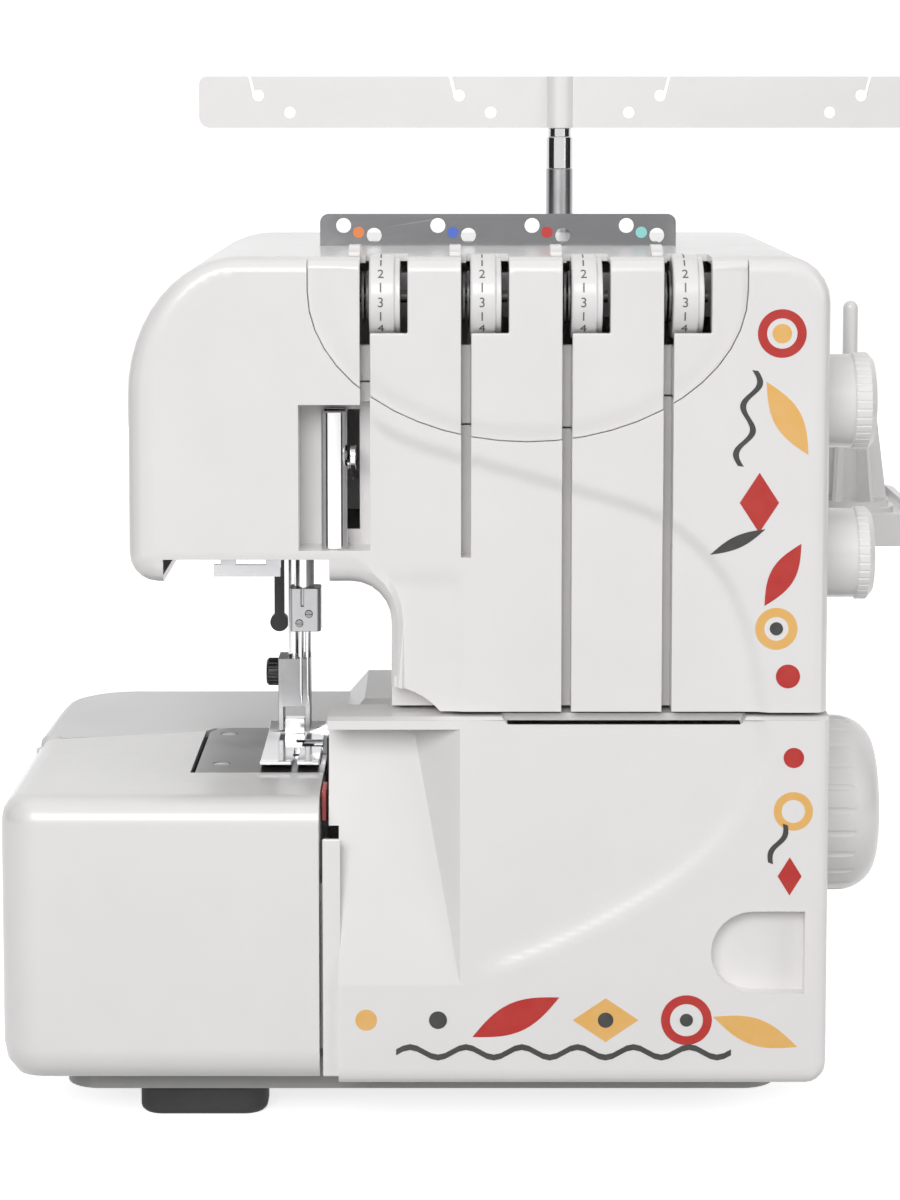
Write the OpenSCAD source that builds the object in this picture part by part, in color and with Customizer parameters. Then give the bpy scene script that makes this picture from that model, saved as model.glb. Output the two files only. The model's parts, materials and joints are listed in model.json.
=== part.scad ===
// Four-thread household overlock machine.
// X runs to the right, Y to the back and Z up. Z = 0 is the table top, and X = Y = 0 is
// the middle of the footprint. Lengths are in millimetres.

/* [Body] */
// Overall width, cloth plate edge to spool tray edge
machine_w = 338; // [334:1:344]
// Overall depth, looper cover face to spool tray edge
machine_d = 282; // [278:1:290]
// Height of the top of the body
body_h = 297; // [294:1:302]
// Width of the cloth plate cover
plate_cover_w = 107.3; // [105:0.1:109]
// Clear width between the cloth plate cover and the column
throat_w = 24.2; // [23:0.1:26]
// Width of the column
column_w = 145; // [143:1:149]
// Reach of the head to the left of the column
head_reach = 87; // [85:1:90]
// Height of the underside of the head
head_under = 189; // [187:1:191]
// Depth of the two housings together
housing_d = 188; // [184:1:190]
// Depth of the front cover
front_cover_d = 79; // [77:1:81]
// Height of the looper cover's top edge
looper_top = 144.5; // [143:0.1:146]
// Height of the sewing bed
bed_z = 116.7; // [115:0.1:118]
// Height of the covers' lower edge
skirt_z = 19.8; // [19:0.1:20.5]
// Clearance beside the needle plate for the cloth plate cover's swing
swing_gap = 1.6; // [1.5:0.1:2]
// How far the right front foot stands behind the left one
foot_set_back = 34; // [32:1:38]
// Wall of the mouldings
wall = 2.5; // [2.2:0.1:2.8]
// Visible gap between the column cover and the looper cover
seam_gap = 1.3; // [1:0.1:1.6]
// How far the column face lies behind the looper cover face
face_step = 2; // [1.5:0.1:2.5]
// Width of the rounding at the head's upper left
head_corner_w = 37; // [34:1:40]
// Height of the rounding at the head's upper left
head_corner_h = 46; // [42:1:50]
// Rounding at the column's upper right
column_corner_r = 15; // [13:1:17]
// Rounding at the head's lower left
head_low_r = 9.5; // [9.2:0.1:11]
// Rounding where the head meets the column
neck_r = 13.5; // [11:0.5:16]

/* [Tension panel] */
// Width of the arched panel
panel_w = 145; // [140:1:146]
// Height of the arched panel's straight upper part
panel_straight = 11; // [9:1:13]
// Height of the arch below the straight part
panel_arch = 50; // [47:1:53]
// Thickness of the arched panel
panel_t = 3; // [2.5:0.1:3.5]
// Width of a thread slot
slot_w = 3.3; // [2.8:0.1:3.8]
// Spacing of the thread slots
slot_pitch = 33.3; // [32.5:0.1:34]
// Depth of a thread slot
slot_depth = 12; // [10:0.5:13]
// Radius of a tension dial
dial_r = 14; // [13:0.1:14.5]
// Width of a tension dial
dial_w = 9; // [8:0.1:9.5]
// Width of a dial window
window_w = 12.4; // [12:0.1:13]
// Height of a dial window
window_h = 25; // [24:0.5:26]
// Diameter of a tension dial's axle
axle_d = 4; // [3:0.1:5]

/* [Bed and looper cover] */
// Width of the needle plate
needle_plate_w = 44.7; // [44:0.1:45]
// Depth of the needle plate
needle_plate_d = 73; // [72:0.5:74]
// Thickness of the needle plate
needle_plate_t = 3; // [2:0.1:4]
// Height of the raised part beside the column
hump_h = 8; // [6:0.5:10]
// Width of the scoop in the looper cover
scoop_w = 44; // [40:1:46]
// Depth of the scoop under its rim
scoop_depth = 16; // [13:0.5:17]
// Height of the rim over the scoop
rim_h = 4; // [3.5:0.1:5]
// Width of the grip gap at the looper cover's top edge
grip_w = 83; // [78:1:86]
// Diameter of the hinge rod under the looper cover
rod_d = 4; // [3:0.1:5]
// Sideways travel of the looper cover before it drops
cover_travel = 5; // [4:0.5:6]
// Diameter of the cloth cover's hinge pin
hinge_pin_d = 3; // [2:0.1:4]

/* [Controls] */
// Radius of the handwheel
wheel_r = 30.8; // [29:0.1:31]
// Width of the handwheel
wheel_w = 23; // [21:0.5:25]
// Height of the main shaft
shaft_z = 99.5; // [98:0.5:101]
// Diameter of the main shaft
shaft_d = 10; // [8:0.5:11]
// Radius of the stitch length dial
length_dial_r = 16; // [15:0.1:17]
// Radius of the differential dial
diff_dial_r = 15.3; // [14.5:0.1:16]
// Width of a side dial with its flange
side_dial_w = 18; // [16:0.5:20]

/* [Needle and foot] */
// Diameter of the needle bar
needle_bar_d = 7; // [6:0.1:7.5]
// Diameter of the presser bar
presser_bar_d = 5; // [4.5:0.1:6]
// Diameter of a needle's shank
needle_d = 2; // [1.6:0.1:2.05]
// Spacing of the two needles
needle_pitch = 2.4; // [2.3:0.1:2.8]

/* [Spool stand] */
// Width of the spool tray
tray_w = 288; // [284:1:294]
// Thickness of the spool tray
tray_t = 13; // [11:0.5:15]
// Height of the spool tray's top
tray_top = 186; // [183:1:189]
// Spacing of the spool pins
pin_pitch = 78.6; // [77:0.1:80]
// Diameter of a spool pin
pin_d = 6.5; // [5.5:0.1:7]
// Length of a spool pin above the tray
pin_len = 82; // [75:1:90]
// Height of a cone holder
cone_h = 43; // [40:1:46]
// Diameter of the pole's outer tube
pole_d = 10.4; // [9.8:0.1:11]
// Diameter of the pole's middle tube
pole_mid_d = 9; // [8.6:0.1:9.2]
// Diameter of the pole's inner rod
pole_top_d = 7; // [6:0.1:7.4]
// Height of the outer tube's top
pole_rest = 321.4; // [318:0.1:325]
// Length of the thread guide bar
bar_len = 282; // [276:1:288]
// Height of the thread guide bar
bar_h = 20; // [18:0.5:22]
// Height of the metal thread guide plate
guide_plate_h = 11.2; // [10:0.1:13]

/* [Hidden] */
$fn = 48;

run = 0.05; // radial clearance of a running fit
gap = 0.3; // clearance between neighbouring pieces
eps = 0.01;
n_slots = 4;

// Main planes of the body
x_left = -machine_w / 2;
x_right = machine_w / 2;
y_front = -machine_d / 2;
x_plate = x_left + plate_cover_w; // right edge of the cloth plate cover
col_x0 = x_plate + throat_w;
col_x1 = col_x0 + column_w;
head_x0 = col_x0 - head_reach;
y_col = y_front + face_step;
y_split = y_col + front_cover_d;
y_rear = y_col + housing_d;
col_z0 = looper_top + seam_gap; // lower edge of the front cover
deck_t = 2.5;
deck_z = skirt_z + deck_t; // top of the deck that the housings stand on
foot_h = 11;
tray_inset = 17;

// Thread slots and tension dials
slot_x = [for (i = [0 : n_slots - 1]) col_x0 - 8.5 + i * slot_pitch];
dial_y = y_col + dial_r - 0.8;
dial_z = body_h - dial_r + 0.3;
dial_off = slot_w / 2 + 0.9; // slot centre to the dial's left face
arch_x = col_x0 + 45;
arch_z = body_h - panel_straight;

// Needle, foot and looper lines
needle_x = x_plate - 8.3;
needle_y = y_front + 80;
foot_x = needle_x - 4.3;
foot_y = needle_y + 16;
plate_x0 = x_plate + 0.2 - needle_plate_w;
plate_x1 = x_plate + 0.2;
plate_y0 = y_front + 41;
plate_y1 = plate_y0 + needle_plate_d;
plate_z0 = bed_z - needle_plate_t;

// Drive
shaft_y = y_front + 70;
wall_b = col_x0 + 25.5; // left face of the frame's left wall
wall_a = col_x1 - 27.5; // left face of the frame's right wall
frame_t = 8;
pulley_x = wall_a + frame_t + 3;
belt_w = 8;
pulley_r = 24;
motor_pulley_r = 8;
motor_y = shaft_y + 71;
motor_z = shaft_z - 39.5;
motor_r = 25;
motor_len = 60;
belt_t = 1.6;

// Spool stand
pole_x = col_x0 + 62.4;
pole_y = y_rear + 7;
tray_y0 = y_rear;
tray_y1 = machine_d / 2;
tray_z0 = tray_top - tray_t;
pin_x0 = x_right - 26.2 - 3 * pin_pitch;
pin_y_near = tray_y0 + 30;
pin_y_far = tray_y0 + 58;

// Colours
white = [0.91, 0.90, 0.89];
pale = [0.82, 0.81, 0.80];
dark = [0.16, 0.16, 0.17];
steel = [0.62, 0.62, 0.63];
chrome = [0.80, 0.80, 0.82];
cast = [0.55, 0.56, 0.58];

// Points of an elliptical arc in a plane
function arc(c, rx, rz, a0, a1, n) =
    [for (i = [0 : n]) let (a = a0 + (a1 - a0) * i / n) c + [rx * cos(a), rz * sin(a)]];

// Front outline of head and column, moved inwards by i times the rounding widths
function body_outline(z0, i, left = 8, top = 4, low = 9, side = 4) = concat(
    [[col_x1 - side * i, z0]],
    arc([col_x1 - column_corner_r, body_h - column_corner_r],
        column_corner_r - side * i, column_corner_r - top * i, 0, 90, 6),
    arc([head_x0 + head_corner_w, body_h - head_corner_h],
        head_corner_w - left * i, head_corner_h - top * i, 90, 180, 12),
    arc([head_x0 + head_low_r, head_under + head_low_r],
        head_low_r - left * i, head_low_r - low * i, 180, 270, 5),
    arc([col_x0 - neck_r, head_under - neck_r], neck_r + side * i, neck_r + low * i, 90, 0, 6),
    [[col_x0 + side * i, z0]]);

// Plan of the cloth plate cover, its front and left edges moved inwards by i
function plate_plan(i) = concat(
    [[x_plate, y_front + i]],
    [for (p = arc([x_left + 14, y_front + 14], 14 - i, 14 - i, 270, 180, 6)) p],
    [[x_left + i, seam_y0 - 6], [x_left + 1.3 + 0.6 * i, seam_y0]],
    [[plate_x0 - swing_gap, seam_y1], [plate_x0 - swing_gap, plate_y0 - gap],
        [x_plate, plate_y0 - gap]]);
seam_y0 = y_front + 94.4; // left end of the seam behind the cloth plate cover
seam_y1 = y_front + 108.6;

// Plan of the bed housing, its rear and left edges moved inwards by i
function bed_plan(i) = concat(
    [[x_left + 1.3 + i, seam_y0 + gap], [x_left + 2.5 + i, seam_y0 + 55]],
    arc([x_left + 28, seam_y0 + 64], 25 - i, 26.6 - i, 170, 90, 6),
    [[col_x0, seam_y0 + 90.6 - i], [col_x0, plate_y1 + gap]],
    [[plate_x0 + 2, plate_y1 + gap], [plate_x0 - swing_gap, seam_y1 + gap]]);

// Skin over rings of points with equal counts; c0 and c1 close the two ends
module skin(rings, c0, c1) {
    n = len(rings[0]);
    m = len(rings);
    pts = concat([for (r = rings) for (p = r) p], [c0, c1]);
    sides = [for (j = [0 : m - 2]) for (k = [0 : n - 1])
        let (a = j * n + k, b = j * n + (k + 1) % n)
        each [[a, b, b + n], [a, b + n, a + n]]];
    ends = [for (k = [0 : n - 1]) each [
        [m * n, (k + 1) % n, k],
        [m * n + 1, (m - 1) * n + k, (m - 1) * n + (k + 1) % n]]];
    polyhedron(points = pts, faces = concat(sides, ends));
}

// Angles of a quarter turn in n steps
function quarter(n) = [for (k = [0 : n]) 90 * k / n];
// A list in the opposite order
function reversed(v) = [for (k = [len(v) - 1 : -1 : 0]) v[k]];

// Bar along X, Y or Z from one end
module rod_x(x, y, z, len, d) {
    translate([x, y, z]) rotate([0, 90, 0]) cylinder(d = d, h = len);
}
module rod_y(x, y, z, len, d) {
    translate([x, y, z]) rotate([-90, 0, 0]) cylinder(d = d, h = len);
}
module rod_z(x, y, z, len, d) {
    translate([x, y, z]) cylinder(d = d, h = len);
}
// Block between two corners
module block(a, b) {
    translate(a) cube(b - a);
}
// Rounded rectangle between two corners, in plan
module round_rect(a, b, r) {
    translate(a + [r, r]) offset(r = r, $fn = 32) square(b - a - [2 * r, 2 * r]);
}
// Plate in the XZ plane from y to y + t
module plate_xz(y, t) {
    translate([0, y + t, 0]) rotate([90, 0, 0]) linear_extrude(t) children();
}
// Plate in the YZ plane from x to x + t
module plate_yz(x, t) {
    translate([x, 0, 0]) rotate([90, 0, 90]) linear_extrude(t) children();
}

// ---- Base -----------------------------------------------------------------------------
pan_y0 = y_front + 22.5; // front edge of pan and deck, clear of the dropping looper cover
rod_y = y_front + 14;
rod_z = skirt_z + 7.2;
rod_x0 = col_x0 - 16.5;
rod_len = column_w + 1;
lug_w = 6;
lug_x = [rod_x0 + 10, rod_x0 + rod_len - 8];
feet_y = [pan_y0 + 15, y_rear - 26];

module base_tray() {
    color(dark) difference() {
        union() {
            translate([0, 0, foot_h])
                linear_extrude(skirt_z - foot_h + eps)
                    round_rect([x_left + 19, pan_y0], [col_x1 - 13.5, y_rear - 9], 12);
            translate([0, 0, skirt_z]) linear_extrude(deck_t) {
                offset(delta = -0.6) polygon(bed_plan(0));
                round_rect([x_left + 19, pan_y0], [col_x0 + 40, y_rear - 25], 8);
                round_rect([col_x0 + 0.6, pan_y0], [col_x1 - 0.6, y_rear - 0.6], 5);
            }
            for (x = lug_x) {
                block([x, rod_y, skirt_z], [x + lug_w, pan_y0 + 6, rod_z + rod_d]);
                rod_x(x, rod_y, rod_z, lug_w, 2 * rod_d);
            }
        }
        // hollow of the pan, open to the table between its feet
        translate([0, 0, foot_h - 1])
            linear_extrude(skirt_z - foot_h - 1.5)
                round_rect([x_left + 60, pan_y0 + 32], [col_x1 - 60, y_rear - 45], 8);
        rod_x(rod_x0 - 1, rod_y, rod_z, rod_len + 2, rod_d + 2 * run);
        // room for the swinging corner of the cloth plate cover
        rod_z(hinge_xy[0], hinge_xy[1], skirt_z - 1, deck_t + 2, 2 * barrel_r + 4);
    }
}

module rubber_feet() {
    color([0.08, 0.08, 0.08]) {
        for (k = [0, 1], j = [0, 1])
            let (x = [x_left + 44, col_x1 - 58][k], y = feet_y[j] + k * (1 - j) * foot_set_back)
                linear_extrude(foot_h) round_rect([x, y - 11], [x + 44, y + 11], 8);
    }
}

// ---- Die-cast frame ------------------------------------------------------------------
frame_top = body_h - 9;
bush_len = 10;
bush_low = head_under + 14;
bush_high = head_under + 73;
arm_y = foot_y + 7;
arm_t = 8;
rail_y = dial_y + dial_r + 1.8;
frame_base_z = deck_z + 5;
upper_pivot = [x_plate + 19.7, bed_z - 48.7];
lower_pivot = [x_plate + 9.7, bed_z - 70.7];
knife_pivot = [y_front + 35, bed_z - 24.7];
pivot_d = 6;
post_xy = [[plate_x0 + 8.2, plate_y0 + 14], [plate_x0 + 7.2, plate_y1 - 10]];
lever_x = foot_x - 6.5;
lever_z = bush_low + 15.5;
lever_hub_r = 3.6;
takeup_pivot = [y_col + 30, head_under + 36];
takeup_x = slot_x[0] - 5.2;
dial_shaft_d = 6;
side_dial_y = y_front + 40;
length_dial_z = body_h - 51;
diff_dial_z = body_h - 103.3;

module inner_frame() {
    color(cast) difference() {
        union() {
            block([plate_x0 + 2, y_front + 29, deck_z], [wall_a + frame_t, y_rear - 13, frame_base_z]);
            for (x = [wall_b, wall_a])
                block([x, rail_y, deck_z], [x + frame_t, y_rear - 19, frame_top]);
            // rail that carries the tension units, and the take-up bracket below it
            block([slot_x[0] - 10, rail_y, dial_z - 8], [wall_a + 1, rail_y + 6, dial_z + 7]);
            block([slot_x[0] - 12, rail_y, takeup_pivot[1] - 8],
                [slot_x[0] - 6.5, rail_y + 6, dial_z + 7]);
            // head arm with its bushes
            block([plate_x0, arm_y, bush_low - 3], [wall_b + 1, arm_y + arm_t, bush_high + 18]);
            for (z = [bush_low, bush_high]) {
                rod_z(needle_x, needle_y, z, bush_len, needle_bar_d + 9);
                block([needle_x - 5, needle_y, z], [needle_x + 5, arm_y + 1, z + bush_len]);
                rod_z(foot_x, foot_y, z, bush_len, presser_bar_d + 8);
                block([foot_x - 5, foot_y, z], [foot_x + 5, arm_y + 1, z + bush_len]);
            }
            // bed arm and the posts under the needle plate
            block([plate_x0 + 2, plate_y1 - 7, plate_z0 - 30], [wall_b + 1, plate_y1, dog_bar_z - gap]);
            block([plate_x0 + 2, plate_y0 + 6, plate_z0 - 30],
                [dog_x0 - 6.4, plate_y1 - 1, dog_bar_z - gap]);
            for (p = post_xy) rod_z(p[0], p[1], plate_z0 - 20, 20, 8);
            rod_z(plate_x1 - 5, plate_y1 - 4, plate_z0 - 20, 20, 6);
            // brackets of the looper, knife and lever pivots
            block([upper_pivot[0] - 7, y_front + 57, deck_z],
                [upper_pivot[0] + 7, y_front + 71, upper_pivot[1] + 7]);
            block([lower_pivot[0] - 7, y_front + 87, deck_z],
                [lower_pivot[0] + 7, y_front + 101, lower_pivot[1] + 7]);
            block([x_plate + 11.7, knife_pivot[0] - 6, deck_z],
                [x_plate + 25.7, knife_pivot[0] + 6, knife_pivot[1] + 6]);
            block([x_plate - 8, y_front + 45, deck_z], [x_plate - 1.7, y_front + 53, bed_z - 12.7]);
            block([x_plate - 4.8, y_front + 50, bed_z - 28.7],
                [x_plate - 1.7, y_front + 71, bed_z - 12.7]);
            block([x_plate - 4.3, y_front + 19, bed_z - 18], [x_plate, y_front + 31, bed_z - 4.7]);
            block([x_plate - 4.3, y_front + 27, deck_z], [x_plate, y_front + 31, bed_z - 4.7]);
        }
        rod_x(wall_b - 1, shaft_y, shaft_z, wall_a - wall_b + frame_t + 2, shaft_d + 2 * run);
        rod_x(wall_a - 1, motor_y, motor_z, frame_t + 2, 14);
        for (z = [bush_low, bush_high]) {
            rod_z(needle_x, needle_y, z - 1, bush_len + 2, needle_bar_d + 2 * run);
            rod_z(foot_x, foot_y, z - 1, bush_len + 2, presser_bar_d + 2 * run);
        }
        for (p = post_xy) rod_z(p[0], p[1], plate_z0 - 12, 13, 3);
        rod_y(upper_pivot[0], y_front + 56, upper_pivot[1], 16, pivot_d);
        rod_y(lower_pivot[0], y_front + 86, lower_pivot[1], 16, pivot_d);
        rod_x(x_plate + 11, knife_pivot[0], knife_pivot[1], 16, pivot_d);
        rod_y(lever_x, arm_y - 1, lever_z, arm_t + 2, pivot_d + 2 * run);
        rod_x(slot_x[0] - 13, takeup_pivot[0], takeup_pivot[1], 8, 5 + 2 * run);
        rod_x(wall_a - 1, side_dial_y, length_dial_z, frame_t + 2, dial_shaft_d + 2 * run);
        rod_x(wall_a - 1, side_dial_y, diff_dial_z, frame_t + 2, dial_shaft_d + 2 * run);
        // lightening windows in the two upright walls
        for (z = [130, 195]) block([wall_b - 1, y_front + 60, z], [wall_a + frame_t + 1, y_rear - 40, z + 50]);
    }
}

// ---- Housings ------------------------------------------------------------------------
recess_x0 = slot_x[0] - 22;
recess_x1 = slot_x[0] + slot_w / 2;
recess_z0 = head_under + 11;
recess_z1 = head_under + 59.4;
recess_d = 16;
notch_x0 = head_x0 + 11.5;
notch_x1 = slot_x[0] - 12;
notch_z = head_under + 8;
slot_low = [recess_z0 + 4, head_under + 8.5, col_z0 - 1, col_z0 - 1];
round_d = 6;

// Head-and-column slab with a softened face at y_face, running to y_back
module body_slab(z0, y_face, y_back) {
    s = y_back > y_face ? 1 : -1;
    soft = [for (a = quarter(4))
        [for (p = body_outline(z0, 1 - sin(a))) [p[0], y_face + s * round_d * (1 - cos(a)), p[1]]]];
    rings = concat(soft, [[for (p = body_outline(z0, 0)) [p[0], y_back, p[1]]]]);
    c = [col_x0 + 20, head_under + 20];
    if (s > 0)
        skin(rings, [c[0], y_face, c[1]], [c[0], y_back, c[1]]);
    else
        skin(reversed(rings), [c[0], y_back, c[1]], [c[0], y_face, c[1]]);
}
module arch_shape() {
    polygon(concat(arc([arch_x, arch_z], panel_w / 2, panel_arch, 180, 360, 24),
        [[arch_x + panel_w / 2, body_h + 2], [arch_x - panel_w / 2, body_h + 2]]));
}
// Height of the arch's edge at x
function arch_low(x) = arch_z - panel_arch * sqrt(1 - pow((x - arch_x) / (panel_w / 2), 2));
// Block around a thread slot from z0 to z1, grown sideways by g
module channel(x, z0, z1, g) {
    block([x - slot_w / 2 - 1.5 - g, y_col + 1, z0],
        [x + slot_w / 2 + 1.5 + g, y_col + slot_depth + 1.5 + g, z1]);
}
// Thread slots and dial windows, which pass through panel and cover
module slot_cuts() {
    for (i = [0 : n_slots - 1]) {
        x = slot_x[i];
        block([x - slot_w / 2, y_col - 1, slot_low[i]], [x + slot_w / 2, y_col + slot_depth, body_h + 1]);
        block([x, y_col - 1, body_h - window_h],
            [x + slot_w / 2 + window_w, dial_y + 10, body_h + 1]);
        block([x, y_col + panel_t, dial_z - dial_r - 0.5],
            [x + slot_w / 2 + window_w, dial_y + 10, body_h - window_h + 1]);
    }
}

module front_cover() {
    color(white) difference() {
        union() {
            difference() {
                body_slab(col_z0, y_col, y_split);
                plate_xz(y_col + wall, front_cover_d)
                    offset(delta = -wall) polygon(body_outline(col_z0 - 10, 0));
            }
            // seat behind the arched panel
            intersection() {
                plate_xz(y_col + 1, panel_t + 1.5) intersection() {
                    offset(delta = 2) arch_shape();
                    offset(delta = -1) polygon(body_outline(col_z0, 0));
                }
                block([head_x0, y_col, head_under], [col_x1 - 1, y_split, body_h - 2]);
            }
            // channels behind the thread slots, up to the arched panel
            for (i = [0 : n_slots - 1])
                channel(slot_x[i], max(slot_low[i] - 1.5, col_z0), arch_low(slot_x[i]) + 2.5, 0);
            // box behind the take-up recess
            block([recess_x0 - 1.5, y_col + 1, recess_z0 - 1.5],
                [recess_x1 + 1.5, y_col + recess_d + 1.5, recess_z1 + 1.5]);
            // block behind the quarter-round recess at the column foot
            block([col_x0 + 1, y_col + 1, col_z0], [col_x0 + 21, y_col + 14.5, col_z0 + 12]);
        }
        plate_xz(y_col - 1, panel_t + 1) arch_shape();
        for (x = slot_x) channel(x, arch_low(x) + 2.8, body_h - 3, 0.2);
        slot_cuts();
        block([recess_x0, y_col - 1, recess_z0], [recess_x1, y_col + recess_d, recess_z1]);
        block([takeup_x - 1, y_col + recess_d - 1, recess_z0 + 5],
            [takeup_x + 3, y_col + recess_d + 3, recess_z1 - 3]);
        block([notch_x0, y_col - 1, head_under - 1], [notch_x1, y_split + 1, notch_z]);
        rod_y(col_x0 - 2.5, y_col - 1, col_z0 - 15.8, 13, 49);
        for (z = [length_dial_z, diff_dial_z])
            rod_x(col_x1 - wall - 1, side_dial_y, z, wall + 2, dial_shaft_d + 1);
    }
}

module tension_panel() {
    color(white) difference() {
        union() {
            intersection() {
                plate_xz(y_col, panel_t) offset(delta = -0.2) arch_shape();
                body_slab(col_z0, y_col, y_split);
            }
            for (x = slot_x) channel(x, arch_low(x) + 3, dial_z - dial_r - 2, 0);
        }
        slot_cuts();
    }
}

side_y0 = y_front + 22.4;
inlet_y = y_rear - 35;
inlet_z = deck_z + 12;
switch_z = deck_z + 40;
module rear_cover() {
    color(white) difference() {
        union() {
            difference() {
                body_slab(deck_z, y_rear, y_split);
                plate_xz(y_split - 1, housing_d - front_cover_d - wall + 1)
                    offset(delta = -wall) polygon(body_outline(deck_z - 10, 0));
            }
            block([col_x1 - wall, side_y0, deck_z], [col_x1, y_split + 1, col_z0 - gap]);
        }
        block([notch_x0, y_split - 1, head_under - 1], [notch_x1, y_split + 42, head_under + wall + 0.5]);
        block([col_x0 - 1, y_split - 1, deck_z - 1], [col_x0 + wall + 1, y_rear - 7, bed_z - 4]);
        rod_x(col_x1 - wall - 1, shaft_y, shaft_z, wall + 2, 24);
        block([col_x1 - 4, inlet_y, inlet_z], [col_x1 + 1, inlet_y + 26, inlet_z + 18]);
        block([col_x1 - 4, inlet_y + 2, switch_z], [col_x1 + 1, inlet_y + 24, switch_z + 14]);
        // vents over the motor
        for (k = [0 : 5])
            block([col_x0 + 55 + 7 * k, y_rear - 7, deck_z + 30], [col_x0 + 58 + 7 * k, y_rear + 1, deck_z + 70]);
    }
}

hinge_xy = [x_left + 4.6, seam_y0 + 2.6];
barrel_r = 4.4;
lug_z = [deck_z + 38, deck_z + 52];
module bed_housing() {
    soft = 3;
    rings = concat([[for (p = bed_plan(0)) [p[0], p[1], deck_z]]],
        [for (a = quarter(3))
            [for (p = bed_plan(soft * (1 - cos(a)))) [p[0], p[1], bed_z - soft * (1 - sin(a))]]]);
    c = [plate_x0, y_rear - 40];
    color(pale) difference() {
        union() {
            skin(rings, [c[0], c[1], deck_z], [c[0], c[1], bed_z]);
            plate_xz(y_split + 48, y_rear - y_split - 53.3)
                polygon([[col_x0 - 20.5, bed_z - 1], [col_x0 - 12.5, bed_z + hump_h],
                    [col_x0, bed_z + hump_h], [col_x0, bed_z - 1]]);
            intersection() {
                rod_z(hinge_xy[0] + 2, hinge_xy[1] + 3, deck_z, bed_z - deck_z - 3, 18);
                linear_extrude(body_h) polygon(bed_plan(0.5));
            }
        }
        translate([0, 0, deck_z - 1]) linear_extrude(bed_z - wall - deck_z + 1) {
            offset(delta = -wall) {
                polygon(bed_plan(0));
                translate([x_left + 15, y_split - 15]) square([column_w, 50]);
                translate([col_x0 - 10, y_split + 20]) square([30, seam_y0 + 90.6 - y_split - 20]);
            }
        }
        rod_z(hinge_xy[0], hinge_xy[1], deck_z - 1, lug_z[0] - deck_z + 1, 2 * barrel_r + 1);
        rod_z(hinge_xy[0], hinge_xy[1], lug_z[1], bed_z - lug_z[1] + 1, 2 * barrel_r + 1);
        rod_z(hinge_xy[0], hinge_xy[1], deck_z, bed_z - deck_z, hinge_pin_d);
        rod_z(col_x0 - 6.3, y_split + 54 - 12, bed_z - wall - 1, wall + 2, 3);
    }
}

flange_x = x_plate + 4.5;
module cloth_plate_cover() {
    soft = 9;
    low_h = 12;
    low = [for (a = reversed(quarter(3)))
        [for (p = plate_plan(soft * (1 - cos(a)))) [p[0], p[1], skirt_z + low_h * (1 - sin(a))]]];
    rings = concat(low, [for (a = quarter(4))
        [for (p = plate_plan(soft * (1 - cos(a)))) [p[0], p[1], bed_z - soft * (1 - sin(a))]]]);
    c = [plate_x0 - 8, plate_y0 - 6];
    color(white) difference() {
        union() {
            difference() {
                skin(rings, [c[0], c[1], skirt_z], [c[0], c[1], bed_z]);
                translate([0, 0, skirt_z + low_h - 1]) linear_extrude(bed_z - wall - skirt_z - low_h + 1)
                    offset(delta = -wall) {
                        polygon(plate_plan(2));
                        translate([x_left + 14, y_front + 8]) square([plate_cover_w, 110]);
                    }
                // opening inside the thick lower lip
                translate([0, 0, skirt_z - 1]) linear_extrude(low_h + 1)
                    offset(delta = -soft - wall) {
                        polygon(plate_plan(2));
                        translate([x_left + 5, y_front + 8]) square([plate_cover_w + 9, 125]);
                    }
            }
            // inner flange that closes the gap beside the looper cover
            block([x_plate - 1.8, y_front + 2, skirt_z + 8], [x_plate, y_front + 13, bed_z - 6]);
            block([x_plate - 1.8, y_front + 2, skirt_z + 8], [x_plate, y_front + 16, bed_z - 32]);
            block([x_plate - 1.8, y_front + 14, skirt_z + 8], [flange_x, y_front + 16, bed_z - 32]);
            for (z = [[deck_z + 4, lug_z[0] - gap], [lug_z[1] + gap, bed_z - 4]])
                rod_z(hinge_xy[0], hinge_xy[1], z[0], z[1] - z[0], 2 * barrel_r);
        }
        rod_z(hinge_xy[0], hinge_xy[1], skirt_z, bed_z - skirt_z - 6, hinge_pin_d + 2 * run);
        block([hinge_xy[0] - 6, hinge_xy[1] - barrel_r - 0.6, lug_z[0] - gap],
            [hinge_xy[0] + barrel_r + 2, hinge_xy[1] + 9, lug_z[1] + gap]);
    }
}

module cloth_cover_pin() {
    color(steel) rod_z(hinge_xy[0], hinge_xy[1], deck_z + 5, bed_z - deck_z - 14, hinge_pin_d);
}

scoop_x1 = x_plate + 3 + scoop_w;
scoop_z0 = skirt_z + 34.7;
scoop_z1 = looper_top - rim_h;
scoop_x0 = x_plate + 3;
lc_x1 = col_x1 + 0.5;
low_x0 = x_plate + 6.4;
grip_x0 = col_x0 + 35.8;
wrap_y = y_front + 22;
recess_c = [col_x1 - 24.5, skirt_z + 45.2];
// Outline of the looper cover's face, right and lower edges moved inwards by i
function cover_outline(i) = concat(
    [[scoop_x0, looper_top - min(i, 1)]],
    [[scoop_x0, skirt_z + 90], [low_x0, skirt_z + 86], [low_x0, skirt_z + i]],
    arc([lc_x1 - 7, skirt_z + 7], 7 - i, 7 - i, 270, 360, 5),
    [[lc_x1 - i, looper_top - min(i, 1)]]);
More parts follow.
